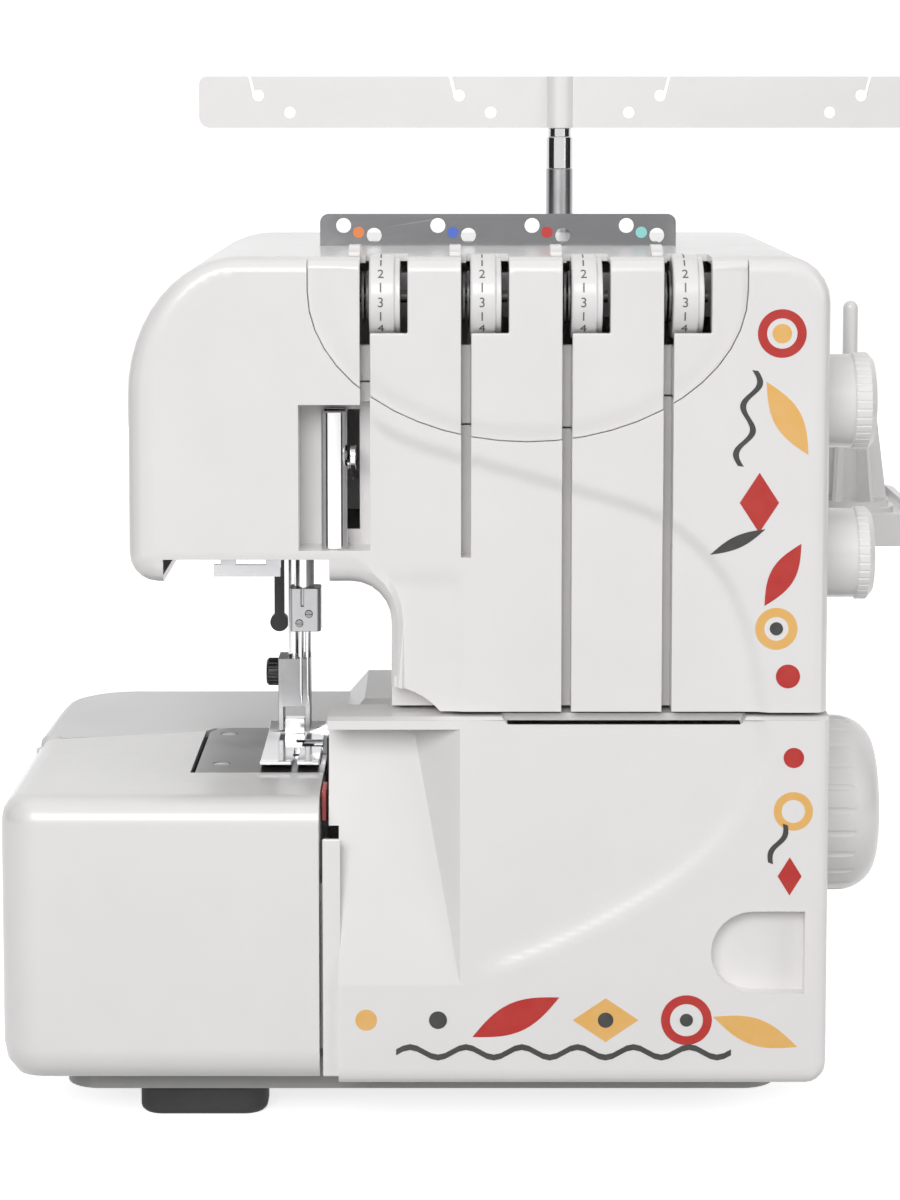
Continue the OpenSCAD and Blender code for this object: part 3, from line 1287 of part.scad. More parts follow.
base_tray();
rubber_feet();
inner_frame();
front_cover();
tension_panel();
rear_cover();
bed_housing();
cloth_plate_cover();
cloth_cover_pin();
looper_cover();
looper_cover_rod();
needle_plate();
cover_screws();
lower_knife();
upper_knife();
pivot_shafts();
upper_looper();
lower_looper();
main_feed_dog();
diff_feed_dog();
main_shaft();
shaft_pulley();
drive_belt();
motor();
motor_pulley();
handwheel();
stitch_length_dial();
differential_dial();
tension_dial_1();
tension_dial_2();
tension_dial_3();
tension_dial_4();
tension_units();
thread_hooks();
thread_guide_plate();
needle_thread_guide();
takeup_lever();
takeup_cover();
needle_bar();
needle_clamp();
needles();
clamp_screws();
presser_bar();
presser_spring();
presser_lifter();
foot_holder();
foot_thumb_screw();
presser_foot();
foot_pin();
stitch_finger_lever();
spool_tray();
spool_pins();
cone_holders();
pole_outer();
pole_mid();
pole_top();
guide_bar();
power_switch();
inlet_socket();
lamp();
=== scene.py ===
import json
import math

import bmesh
import bpy
import numpy as np
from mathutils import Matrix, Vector
from mathutils.bvhtree import BVHTree
from mathutils.geometry import delaunay_2d_cdt


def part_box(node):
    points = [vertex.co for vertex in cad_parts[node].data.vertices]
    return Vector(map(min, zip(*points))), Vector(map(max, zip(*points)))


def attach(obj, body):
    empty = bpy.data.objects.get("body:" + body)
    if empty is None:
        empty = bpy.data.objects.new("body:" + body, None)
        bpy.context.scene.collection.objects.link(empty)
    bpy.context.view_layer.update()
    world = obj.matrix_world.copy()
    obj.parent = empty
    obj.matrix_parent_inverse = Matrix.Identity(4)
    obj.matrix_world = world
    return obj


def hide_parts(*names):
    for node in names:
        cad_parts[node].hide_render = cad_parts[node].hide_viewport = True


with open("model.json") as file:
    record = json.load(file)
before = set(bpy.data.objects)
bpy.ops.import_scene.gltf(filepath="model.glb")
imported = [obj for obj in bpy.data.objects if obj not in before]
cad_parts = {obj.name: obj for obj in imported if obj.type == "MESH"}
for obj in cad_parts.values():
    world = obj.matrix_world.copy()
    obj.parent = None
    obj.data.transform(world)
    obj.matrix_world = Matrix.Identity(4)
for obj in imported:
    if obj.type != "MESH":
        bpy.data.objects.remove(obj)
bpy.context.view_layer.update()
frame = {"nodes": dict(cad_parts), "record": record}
nodes = frame["nodes"]
carrier = {}
for body, carried in frame["record"]["behaviour"]["bodies"].items():
    for node_name in carried:
        carrier[node_name] = body

# ---------------------------------------------------------------------------------------------
# Studio: a plain white sweep, a broad soft lamp in front and weaker ones beside, above and behind, black
# flags at the sides, and the camera a little over a metre in front, about level with the antenna's bar.
mm = 0.001
scene = bpy.context.scene
scene.view_settings.view_transform = "Standard"


def link_object(name, mesh):
    """A new object that holds the mesh, at the origin of the machine's frame."""
    made = bpy.data.objects.new(name, mesh)
    scene.collection.objects.link(made)
    return made


def grid_mesh(name, points, close_u=False, close_v=False):
    """A mesh of four-sided faces over a grid of points[u, v]; a closed direction joins its last row to
    its first."""
    rows, columns = points.shape[:2]
    index = np.arange(rows * columns).reshape(rows, columns)
    if close_u:
        index = np.vstack([index, index[:1]])
    if close_v:
        index = np.hstack([index, index[:, :1]])
    faces = np.stack([index[:-1, :-1], index[1:, :-1], index[1:, 1:], index[:-1, 1:]], axis=-1).reshape(-1, 4)
    mesh = bpy.data.meshes.new(name)
    mesh.from_pydata(points.reshape(-1, 3).tolist(), [], faces.tolist())
    mesh.update()
    return mesh


def sweep_surface(reach, bend, rise):
    """Floor to backdrop: a flat run, a quarter circle of radius bend, then a straight rise, carried
    across X."""
    turn = np.linspace(0, math.pi / 2, 17)
    y = np.concatenate([[-reach], reach - bend + bend * np.sin(turn), [reach]])
    z = np.concatenate([[0], bend - bend * np.cos(turn), [rise]])
    x = np.linspace(-reach, reach, 9)
    xs, ys = np.meshgrid(x, y, indexing="ij")
    zs = np.broadcast_to(z, ys.shape)
    return np.stack([xs, ys, zs], axis=-1)


sweep = link_object("studio_sweep", grid_mesh("studio_sweep", sweep_surface(3.2, 0.9, 3.0)))
sweep.data.polygons.foreach_set("use_smooth", [True] * len(sweep.data.polygons))


def seen_apart(tree, output_kind):
    """Clears a node tree and gives it a mix of two shaders: the first lights the machine, and the second is
    what the camera and the machine's reflections see."""
    tree.nodes.clear()
    out = tree.nodes.new(output_kind)
    mix = tree.nodes.new("ShaderNodeMixShader")
    path = tree.nodes.new("ShaderNodeLightPath")
    seen = tree.nodes.new("ShaderNodeMath")
    seen.operation = "MAXIMUM"
    tree.links.new(path.outputs["Is Camera Ray"], seen.inputs[0])
    tree.links.new(path.outputs["Is Glossy Ray"], seen.inputs[1])
    tree.links.new(seen.outputs[0], mix.inputs["Fac"])
    tree.links.new(mix.outputs[0], out.inputs["Surface"])
    return mix


paper = bpy.data.materials.new("studio_paper")
paper.use_nodes = True
tree = paper.node_tree
mix = seen_apart(tree, "ShaderNodeOutputMaterial")
add = tree.nodes.new("ShaderNodeAddShader")
plain = tree.nodes.new("ShaderNodeBsdfDiffuse")
plain.inputs["Color"].default_value = (0.35, 0.35, 0.35, 1)
bright = tree.nodes.new("ShaderNodeBsdfDiffuse")
bright.inputs["Color"].default_value = (0.8, 0.8, 0.8, 1)
glow = tree.nodes.new("ShaderNodeEmission")
glow.inputs["Strength"].default_value = 0.75
tree.links.new(bright.outputs[0], add.inputs[0])
tree.links.new(glow.outputs[0], add.inputs[1])
tree.links.new(plain.outputs[0], mix.inputs[1])
tree.links.new(add.outputs[0], mix.inputs[2])
sweep.data.materials.append(paper)

world = bpy.data.worlds.new("studio_air")
world.use_nodes = True
scene.world = world
tree = world.node_tree
mix = seen_apart(tree, "ShaderNodeOutputWorld")
air = tree.nodes.new("ShaderNodeBackground")
air.inputs["Color"].default_value = (1, 1, 1, 1)
air.inputs["Strength"].default_value = 0.40
wall = tree.nodes.new("ShaderNodeBackground")
wall.inputs["Color"].default_value = (1, 1, 1, 1)
wall.inputs["Strength"].default_value = 1.0
tree.links.new(air.outputs[0], mix.inputs[1])
tree.links.new(wall.outputs[0], mix.inputs[2])


def soft_lamp(name, place, target, width, height, watts):
    """A flat rectangular lamp at a place, turned to face a target."""
    lamp = bpy.data.lights.new(name, "AREA")
    lamp.shape = "RECTANGLE"
    lamp.size = width
    lamp.size_y = height
    lamp.energy = watts
    holder = bpy.data.objects.new(name, lamp)
    scene.collection.objects.link(holder)
    holder.location = place
    aim = Vector(target) - Vector(place)
    holder.rotation_euler = aim.to_track_quat("-Z", "Y").to_euler()
    return holder


machine_middle = (0, 0, 0.15)
soft_lamp("lamp_front", (-0.5, -2.0, 1.15), machine_middle, 1.3, 1.0, 29)
soft_lamp("lamp_right", (1.5, -0.9, 0.7), machine_middle, 0.7, 1.2, 6.5)
soft_lamp("lamp_above", (0.0, 0.3, 1.8), (0, 0, 0.1), 1.6, 1.0, 0.6)
rear_lamp = soft_lamp("lamp_behind", (-0.5, 2.0, 0.45), machine_middle, 1.6, 0.7, 12)
rear_lamp.visible_glossy = False
rear_lamp.visible_camera = False

# The flags are black card that only the machine's reflections see, so that its sides darken at the rim
black_card = bpy.data.materials.new("black_card")
black_card.use_nodes = True
card_shader = black_card.node_tree.nodes["Principled BSDF"]
card_shader.inputs["Base Color"].default_value = (0.012, 0.012, 0.012, 1)
card_shader.inputs["Roughness"].default_value = 0.9
flag_distance = 0.95
flag_run = (-0.75, 0.35)
flag_height = (0.002, 1.1)
for side in (-1, 1):
    corners = np.array([[[side * flag_distance, y, z] for z in flag_height] for y in flag_run])
    flag_name = f"studio_flag_{side + 1}"
    flag = link_object(flag_name, grid_mesh(flag_name, corners))
    flag.data.materials.append(black_card)
    flag.visible_camera = False
    flag.visible_diffuse = False
    flag.visible_shadow = False
    flag.visible_transmission = False

camera_tilt = 5.06
camera = bpy.data.cameras.new("camera")
camera.lens = 88.9
camera.sensor_width = 36
camera.shift_y = -0.1988
camera.clip_start = 0.05
camera.clip_end = 20
eye = bpy.data.objects.new("camera", camera)
scene.collection.objects.link(eye)
eye.location = (-0.018, -1.108, 0.3486)
eye.rotation_euler = (math.radians(90 - camera_tilt), 0, 0)
scene.camera = eye

# ---------------------------------------------------------------------------------------------
# Moulded covers: glossy white ABS shells, injection moulded, with a faint grain from the tool,
# softened edges and the smudges that handling leaves. The bed and tray are the same plastic.


def effect_group(name, numbers, outputs):
    """An empty shader node group with a Vector input, number inputs and the named outputs."""
    group = bpy.data.node_groups.new(name, "ShaderNodeTree")
    group.interface.new_socket("Vector", in_out="INPUT", socket_type="NodeSocketVector")
    for label, value in numbers.items():
        group.interface.new_socket(label, in_out="INPUT", socket_type="NodeSocketFloat").default_value = value
    for label in outputs:
        group.interface.new_socket(label, in_out="OUTPUT", socket_type="NodeSocketFloat")
    return group, group.nodes.new("NodeGroupInput"), group.nodes.new("NodeGroupOutput")


def tool_grain():
    """Height of fine noise, and a broad slow mottling, for the skin that a mould or a casting gives."""
    group, given, result = effect_group("tool_grain", {"Scale": 1800, "Broad": 45}, ["Height", "Mottle"])
    fine = group.nodes.new("ShaderNodeTexNoise")
    fine.inputs["Detail"].default_value = 3
    broad = group.nodes.new("ShaderNodeTexNoise")
    broad.inputs["Detail"].default_value = 2
    group.links.new(given.outputs["Vector"], fine.inputs["Vector"])
    group.links.new(given.outputs["Scale"], fine.inputs["Scale"])
    group.links.new(given.outputs["Vector"], broad.inputs["Vector"])
    group.links.new(given.outputs["Broad"], broad.inputs["Scale"])
    group.links.new(fine.outputs["Fac"], result.inputs["Height"])
    group.links.new(broad.outputs["Fac"], result.inputs["Mottle"])
    return group


def handling_marks():
    """Mask of smudges: slow noise above a level, broken up by finer noise."""
    group, given, result = effect_group("handling_marks", {"Scale": 22}, ["Mask"])
    blot = group.nodes.new("ShaderNodeTexNoise")
    blot.inputs["Detail"].default_value = 5
    level = group.nodes.new("ShaderNodeMapRange")
    level.interpolation_type = "SMOOTHSTEP"
    level.inputs["From Min"].default_value = 0.5
    level.inputs["From Max"].default_value = 0.72
    group.links.new(given.outputs["Vector"], blot.inputs["Vector"])
    group.links.new(given.outputs["Scale"], blot.inputs["Scale"])
    group.links.new(blot.outputs["Fac"], level.inputs["Value"])
    group.links.new(level.outputs["Result"], result.inputs["Mask"])
    return group


def rubbed_edges():
    """Mask of outward edges, from pointiness, broken up by noise where hands and cloth rub."""
    group, given, result = effect_group("rubbed_edges", {"Scale": 160}, ["Mask"])
    shape = group.nodes.new("ShaderNodeNewGeometry")
    level = group.nodes.new("ShaderNodeMapRange")
    level.inputs["From Min"].default_value = 0.52
    level.inputs["From Max"].default_value = 0.62
    noise = group.nodes.new("ShaderNodeTexNoise")
    both = group.nodes.new("ShaderNodeMath")
    both.operation = "MULTIPLY"
    group.links.new(shape.outputs["Pointiness"], level.inputs["Value"])
    group.links.new(given.outputs["Vector"], noise.inputs["Vector"])
    group.links.new(given.outputs["Scale"], noise.inputs["Scale"])
    group.links.new(level.outputs["Result"], both.inputs[0])
    group.links.new(noise.outputs["Fac"], both.inputs[1])
    group.links.new(both.outputs[0], result.inputs["Mask"])
    return group


grain_group = tool_grain()
marks_group = handling_marks()
edges_group = rubbed_edges()
mottle_dark = 0.965
mottle_light = 1.02
smudge_dulling = 0.07
grain_depth = 0.0002
coat_roughness = 0.12


def surface_finish(name, colour, worn, rough, metallic=0.0, coat=0.0, scale=1800, bump=0.02,
                   along=(1, 1, 1)):
    """A finish with mould or tool grain, smudges that change its gloss, and edges rubbed towards the worn
    colour. along stretches the grain, for metal that is drawn or ground in one direction."""
    made = bpy.data.materials.new(name)
    made.use_nodes = True
    tree = made.node_tree
    shader = tree.nodes["Principled BSDF"]
    shader.inputs["Metallic"].default_value = metallic
    shader.inputs["Coat Weight"].default_value = coat
    shader.inputs["Coat Roughness"].default_value = coat_roughness
    place = tree.nodes.new("ShaderNodeTexCoord")
    turn = tree.nodes.new("ShaderNodeMapping")
    turn.inputs["Scale"].default_value = along
    tree.links.new(place.outputs["Object"], turn.inputs["Vector"])
    grain = tree.nodes.new("ShaderNodeGroup")
    grain.node_tree = grain_group
    grain.inputs["Scale"].default_value = scale
    marks = tree.nodes.new("ShaderNodeGroup")
    marks.node_tree = marks_group
    edges = tree.nodes.new("ShaderNodeGroup")
    edges.node_tree = edges_group
    tree.links.new(turn.outputs["Vector"], grain.inputs["Vector"])
    tree.links.new(place.outputs["Object"], marks.inputs["Vector"])
    tree.links.new(place.outputs["Object"], edges.inputs["Vector"])
    mottle = tree.nodes.new("ShaderNodeMix")
    mottle.data_type = "RGBA"
    mottle.inputs["A"].default_value = (*[c * mottle_dark for c in colour], 1)
    mottle.inputs["B"].default_value = (*[min(c * mottle_light, 1) for c in colour], 1)
    tree.links.new(grain.outputs["Mottle"], mottle.inputs["Factor"])
    rubbed = tree.nodes.new("ShaderNodeMix")
    rubbed.data_type = "RGBA"
    rubbed.inputs["B"].default_value = (*worn, 1)
    tree.links.new(edges.outputs["Mask"], rubbed.inputs["Factor"])
    tree.links.new(mottle.outputs["Result"], rubbed.inputs["A"])
    tree.links.new(rubbed.outputs["Result"], shader.inputs["Base Color"])
    gloss = tree.nodes.new("ShaderNodeMapRange")
    gloss.inputs["To Min"].default_value = rough
    gloss.inputs["To Max"].default_value = rough + smudge_dulling
    tree.links.new(marks.outputs["Mask"], gloss.inputs["Value"])
    tree.links.new(gloss.outputs["Result"], shader.inputs["Roughness"])
    relief = tree.nodes.new("ShaderNodeBump")
    relief.inputs["Strength"].default_value = bump
    relief.inputs["Distance"].default_value = grain_depth
    tree.links.new(grain.outputs["Height"], relief.inputs["Height"])
    tree.links.new(relief.outputs["Normal"], shader.inputs["Normal"])
    return made


drawn = (0.08, 1, 1)
finish_looks = {
    "white_moulding": dict(colour=(0.80, 0.785, 0.78), worn=(0.84, 0.83, 0.82), rough=0.28, coat=0.25),
    "grey_moulding": dict(colour=(0.76, 0.75, 0.75), worn=(0.82, 0.81, 0.8), rough=0.34, coat=0.15),
    "black_moulding": dict(colour=(0.02, 0.02, 0.021), worn=(0.06, 0.06, 0.06), rough=0.36, bump=0.06),
    "dark_base": dict(colour=(0.40, 0.395, 0.39), worn=(0.5, 0.5, 0.49), rough=0.45, bump=0.08),
    "black_rubber": dict(colour=(0.03, 0.03, 0.03), worn=(0.07, 0.07, 0.07), rough=0.65,
                         scale=900, bump=0.15),
    "cast_frame": dict(colour=(0.36, 0.36, 0.37), worn=(0.5, 0.5, 0.5), rough=0.5, scale=700, bump=0.3),
    "bright_steel": dict(colour=(0.42, 0.42, 0.43), worn=(0.6, 0.6, 0.6), rough=0.28,
                         metallic=1, along=drawn),
    "dark_steel": dict(colour=(0.30, 0.295, 0.30), worn=(0.5, 0.5, 0.5), rough=0.34,
                       metallic=1, along=drawn),
    "polished_chrome": dict(colour=(0.70, 0.70, 0.71), worn=(0.8, 0.8, 0.8), rough=0.1,
                            metallic=1, bump=0.005),
    "red_moulding": dict(colour=(0.55, 0.07, 0.07), worn=(0.6, 0.15, 0.13), rough=0.32, coat=0.2),
    "lamp_body": dict(colour=(0.82, 0.81, 0.76), worn=(0.85, 0.85, 0.8), rough=0.3),
    "pressed_plate": dict(colour=(0.15, 0.15, 0.155), worn=(0.35, 0.35, 0.35), rough=0.42, metallic=1),
    # shaded_steel is near-black steel, painted shade for the tension units that sit deep in their slots
    "shaded_steel": dict(colour=(0.09, 0.09, 0.09), worn=(0.2, 0.2, 0.2), rough=0.45, metallic=1),
}
finishes = {finish_name: surface_finish(finish_name, **look) for finish_name, look in finish_looks.items()}
slot_of = {part["node"]: part["material_slot"] for part in frame["record"]["subparts"]}
finish_of = {node_name: finishes[slot_name] for node_name, slot_name in slot_of.items()}
finish_of["thread_guide_plate"] = finishes["pressed_plate"]
# The tension units take the near-black shaded steel: painted shade for the dark inside of the thread slots
finish_of["tension_units"] = finishes["shaded_steel"]
for node_name, node in nodes.items():
    node.data.materials.clear()
    node.data.materials.append(finish_of[node_name])

join_distance = 2e-6
flat_angle = math.radians(0.3)
sharp_angle = math.radians(35)
rounded_angle = math.radians(38)


def merged_copy(node_name):
    """A bmesh of the CAD piece with its loose triangles joined."""
    work = bmesh.new()
    work.from_mesh(nodes[node_name].data)
    bmesh.ops.remove_doubles(work, verts=work.verts, dist=join_distance)
    return work


def merge_flats(work, leave=()):
    """Merges the triangles of each flat part into whole faces, apart from the faces to leave."""
    leave = set(leave)
    edges = [e for e in work.edges if not any(f in leave for f in e.link_faces)]
    points = [v for v in work.verts if not any(f in leave for f in v.link_faces)]
    bmesh.ops.dissolve_limit(work, angle_limit=flat_angle, verts=points, edges=edges)


def finished_piece(node_name, work, edge, segments=2):
    """Turns the worked copy into a piece that stands for its CAD node, with its sharp edges rounded."""
    mesh = bpy.data.meshes.new(node_name + "_finished")
    work.to_mesh(mesh)
    work.free()
    mesh.polygons.foreach_set("use_smooth", [True] * len(mesh.polygons))
    mesh.set_sharp_from_angle(angle=sharp_angle)
    mesh.materials.append(finish_of[node_name])
    piece = link_object(node_name + "_finished", mesh)
    rounding = piece.modifiers.new("rounding", "BEVEL")
    rounding.width = edge
    rounding.segments = segments
    rounding.limit_method = "ANGLE"
    rounding.angle_limit = rounded_angle
    rounding.use_clamp_overlap = True
    rounding.harden_normals = False
    rounding.miter_outer = "MITER_ARC"
    even = piece.modifiers.new("even_shading", "WEIGHTED_NORMAL")
    even.keep_sharp = True
    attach(piece, carrier[node_name])
    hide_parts(node_name)
    return piece


# ---------------------------------------------------------------------------------------------
# Front cover and looper cover: the two big faces carry one shallow step that sweeps from beside
# the arched panel, across the column and round the looper cover, moulded about a millimetre deep.
on_face = 2e-5
same_place = 1e-5
rim_margin = 0.55
sliver_width = 0.02 * mm


def retile(work, y_face, step, depth_at):
    """Replaces the flat front at y_face by small triangles on a grid, and sets each of its points back
    by depth_at(x, z). The rims keep their own points, so the walls behind them follow. A grid point is
    kept if it lies on the old front and clear of the rims. The triangles between rims are then taken or
    left as whole regions, by whether the largest triangle of each lies on the old front."""
    front = [f for f in work.faces if all(abs(v.co.y - y_face) < on_face for v in f.verts)]
    flat = [(v.co.x, y_face, v.co.z) for f in front for v in f.verts]
    cover = BVHTree.FromPolygons(flat, [(3 * i, 3 * i + 1, 3 * i + 2) for i in range(len(front))])
    bmesh.ops.delete(work, geom=front, context="FACES")
    rims = [e for e in work.edges if e.is_boundary]
    for cuts in sorted({int(e.calc_length() / step) for e in rims} - {0}):
        same = [e for e in work.edges if e.is_boundary and int(e.calc_length() / step) == cuts]
        bmesh.ops.subdivide_edges(work, edges=same, cuts=cuts)
    rims = [e for e in work.edges if e.is_boundary]
    rim_points = list({v for e in rims for v in e.verts})
    order = {v: i for i, v in enumerate(rim_points)}
    corners = np.array([(v.co.x, v.co.z) for v in rim_points])
    ends = np.array([(order[e.verts[0]], order[e.verts[1]]) for e in rims])
    low, high = corners.min(axis=0), corners.max(axis=0)
    grid = np.stack(np.meshgrid(np.arange(low[0], high[0], step), np.arange(low[1], high[1], step)), -1)
    grid = grid.reshape(-1, 2)
    start, run = corners[ends[:, 0]], corners[ends[:, 1]] - corners[ends[:, 0]]
    along = np.einsum("pek,ek->pe", grid[:, None] - start[None], run) / (run ** 2).sum(axis=1)
    near = start[None] + np.clip(along, 0, 1)[..., None] * run[None]
    grid = grid[np.linalg.norm(grid[:, None] - near, axis=2).min(axis=1) > rim_margin * step]
    inside = [p for p in grid if cover.find_nearest((p[0], y_face, p[1]))[3] < same_place]

    # Triangulate, with the rims as fixed edges, and take up the rims' own points again
    loose = [Vector(p) for p in corners] + [Vector(p) for p in inside]
    points, _, faces, came_from, _, _ = delaunay_2d_cdt(loose, ends.tolist(), [], 0, 1e-9)
    made = []
    for p, source in zip(points, came_from):
        on_rim = [i for i in source if i < len(rim_points)]
        made.append(rim_points[on_rim[0]] if on_rim else work.verts.new((p.x, y_face, p.y)))

    # Gather the triangles into regions bounded by the rims, and keep each that lies on the old front
    place_of = {v: i for i, v in enumerate(made)}
    walls = {frozenset(place_of[v] for v in e.verts) for e in rims}
    beside = {}
    for k, corner in enumerate(faces):
        for i in range(3):
            beside.setdefault(frozenset((corner[i], corner[i - 1])), []).append(k)
    spot = np.array([tuple(v) for v in points])
    first_corner, second_corner, third_corner = (spot[np.array(faces)[:, i]] for i in range(3))
    to_second = second_corner - first_corner
    to_third = third_corner - first_corner
    size = np.abs(to_second[:, 0] * to_third[:, 1] - to_second[:, 1] * to_third[:, 0])
    centre = (first_corner + second_corner + third_corner) / 3
    region = [-1] * len(faces)
    surface = []
    for first in range(len(faces)):
        if region[first] >= 0:
            continue
        region[first] = first
        found = [first]
        enclosed = True
        for k in found:
            for i in range(3):
                side = frozenset((faces[k][i], faces[k][i - 1]))
                if side in walls:
                    continue
                enclosed = enclosed and len(beside[side]) == 2
                for other in beside[side]:
                    if region[other] < 0:
                        region[other] = first
                        found.append(other)
        largest = max(found, key=lambda k: size[k])
        gap = cover.find_nearest((centre[largest][0], y_face, centre[largest][1]))[3]
        if enclosed and gap < same_place:
            surface += [work.faces.new([made[i] for i in faces[k]]) for k in found]

    # Dissolve slivers, which would shade as specks, then set the points back
    slivers = set()
    for f in surface:
        longest = max(f.edges, key=lambda e: e.calc_length())
        if len(longest.link_faces) == 2 and f.calc_area() < sliver_width * longest.calc_length():
            if all(g in surface for g in longest.link_faces):
                slivers.add(longest)
    joined = bmesh.ops.dissolve_edges(work, edges=list(slivers), use_verts=False)["region"]
    surface = [f for f in surface if f.is_valid] + [f for f in joined if f.is_valid]
    moved = list({v for f in surface for v in f.verts})
    at = np.array([(v.co.x, v.co.z) for v in moved])
    for v, depth in zip(moved, depth_at(at[:, 0], at[:, 1])):
        v.co.y += depth
    bmesh.ops.delete(work, geom=[v for v in work.verts if not v.link_faces], context="VERTS")
    bmesh.ops.recalc_face_normals(work, faces=work.faces)
    merge_flats(work, surface)


def smooth_step(value):
    """0 below 0, 1 above 1, and 3v^2 - 2v^3 between."""
    v = np.clip(value, 0, 1)
    return v * v * (3 - 2 * v)


def rounded_path(points, count=12):
    """Catmull-Rom curve through the points: each stretch is a cubic whose end slopes are half the chord
    between its neighbours."""
    p = np.array([points[0]] + list(points) + [points[-1]], float)
    t = np.linspace(0, 1, count, endpoint=False)[None, :, None]
    a, b, c, d = p[:-3, None], p[1:-2, None], p[2:-1, None], p[3:, None]
    square = 2 * a - 5 * b + 4 * c - d
    cube = 3 * b - a - 3 * c + d
    curve = 0.5 * (2 * b + (c - a) * t + square * t ** 2 + cube * t ** 3)
    return np.vstack([curve.reshape(-1, 2), p[-1:]])


def side_distance(x, z, path):
    """Distance from (x, z) to the path, positive on the path's right-hand side."""
    a, run = path[:-1], np.diff(path, axis=0)
    to = np.stack([x, z], axis=-1)[:, None] - a[None]
    t = np.clip((to * run[None]).sum(-1) / (run ** 2).sum(-1), 0, 1)
    gap = np.linalg.norm(to - t[..., None] * run[None], axis=-1)
    nearest = gap.argmin(axis=1)
    rows = np.arange(len(nearest))
    cross = run[nearest, 0] * to[rows, nearest, 1] - run[nearest, 1] * to[rows, nearest, 0]
    return np.where(cross < 0, 1, -1) * gap[rows, nearest]


step_depth = 1.6 * mm
step_width = 4.8 * mm
neck_depth = 0.7 * mm
upper_sweep = rounded_path([(-60, 262), (-43, 243), (-28, 235), (-2, 227.5), (45.5, 213.5), (61, 204),
                            (74, 189), (82, 168), (86, 144)]) * mm
lower_sweep = rounded_path([(86, 146), (84, 128), (74, 108), (55, 90), (26, 73), (-5, 60), (-35, 54),
                            (-60, 53)]) * mm


def column_depth(x, z):
    """Set back below the sweep, fading out towards the head, and set back further beside the neck."""
    inside = smooth_step(side_distance(x, z, upper_sweep) / step_width + 0.5)
    sweep = step_depth * inside * smooth_step((x + 50 * mm) / (12 * mm))
    neck = neck_depth * smooth_step((194 * mm - z) / (7 * mm)) * smooth_step((-13.5 * mm - x) / (3 * mm))
    return sweep + neck


def looper_depth(x, z):
    """Set back inside the lower sweep, fading out before the scoop at the left."""
    inside = smooth_step(side_distance(x, z, lower_sweep) / step_width + 0.5)
    return step_depth * inside * smooth_step((x + 13 * mm) / (16 * mm))


arch_x = 7.5 * mm
arch_z = 286 * mm
arch_half = 72.5 * mm
arch_drop = 50 * mm
arch_roll = 7 * mm
arch_edge_depth = 1.1 * mm


def arch_depth(x, z):
    """Rolls back towards the arched edge, whose distance is that of an ellipse scaled to its drop."""
    reach = np.hypot((x - arch_x) / arch_half, np.minimum(z - arch_z, 0) / arch_drop)
    return arch_edge_depth * (1 - smooth_step((1 - reach) * arch_drop / arch_roll))


front_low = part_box("front_cover")[0]
panel_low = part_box("tension_panel")[0]
work = merged_copy("tension_panel")
retile(work, panel_low[1], 1.8 * mm, arch_depth)
finished_piece("tension_panel", work, 0.4 * mm)
work = merged_copy("front_cover")
retile(work, front_low[1], 2 * mm, column_depth)
finished_piece("front_cover", work, 0.35 * mm)
looper_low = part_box("looper_cover")[0]
work = merged_copy("looper_cover")
retile(work, looper_low[1], 2 * mm, looper_depth)
finished_piece("looper_cover", work, 0.6 * mm, 3)

# ---------------------------------------------------------------------------------------------
# Looper cover lip: a thin lip of the same moulding stands back behind the cover's left edge and closes
# the view into the gap beside the cloth plate cover. It moves with the looper cover.
lip_middle_x = -57.6
lip_middle_z = 62.5
lip_width = 6.0
lip_height = 81
lip_thickness = 1.4
lip_set_back = 2.6
lip = bmesh.new()
bmesh.ops.create_cube(lip, size=1)
for v in lip.verts:
    v.co.x = (lip_middle_x + lip_width * v.co.x) * mm
    v.co.y = looper_low[1] + (lip_set_back + lip_thickness * v.co.y) * mm
    v.co.z = (lip_middle_z + lip_height * v.co.z) * mm
mesh = bpy.data.meshes.new("looper_cover_lip")
lip.to_mesh(mesh)
lip.free()
mesh.materials.append(finish_of["looper_cover"])
lip_piece = link_object("looper_cover_lip", mesh)
rounding = lip_piece.modifiers.new("rounding", "BEVEL")
rounding.width = 0.4 * mm
rounding.segments = 2
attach(lip_piece, carrier["looper_cover"])

# ---------------------------------------------------------------------------------------------
# The other covers, the bed, the trays and the small electric fittings are injection moulded, and the feet
# are pressed in rubber. Each has the soft edge that its mould gives, listed here in mm.
cover_edges = {"rear_cover": 0.5, "cloth_plate_cover": 0.5, "bed_housing": 0.6,
               "base_tray": 1.0, "rubber_feet": 2.2, "spool_tray": 0.6, "lamp": 0.3, "power_switch": 0.3,
               "inlet_socket": 0.3}
for node_name, edge in cover_edges.items():
    work = merged_copy(node_name)
    merge_flats(work)
    finished_piece(node_name, work, edge * mm, 3)

# ---------------------------------------------------------------------------------------------
# Small pieces: turned and pressed metal, and small mouldings, each with the edge radius in mm that
# tumbling or the mould gives it. The tension dials stand a little wider to the left in their windows.
dial_widening = 1.2 * mm
small_edges = {"handwheel": 0.6, "stitch_length_dial": 0.35, "differential_dial": 0.35, "thread_hooks": 0.3,
               "spool_pins": 0.3, "guide_bar": 0.4, "cone_holders": 0.4, "needle_plate": 0.2,
               "clamp_screws": 0.12, "foot_holder": 0.3, "upper_knife": 0.15, "presser_lifter": 0.4,
               "foot_thumb_screw": 0.2, "needle_clamp": 0.25, "presser_foot": 0.3, "takeup_cover": 0.4,
               "thread_guide_plate": 0.25, "needle_thread_guide": 0.15, "stitch_finger_lever": 0.3,
               "takeup_lever": 0.2, "cover_screws": 0.15, "pole_outer": 0.2, "pole_mid": 0.2, "pole_top": 0.2,
               "tension_dial_1": 0.3, "tension_dial_2": 0.3, "tension_dial_3": 0.3, "tension_dial_4": 0.3}
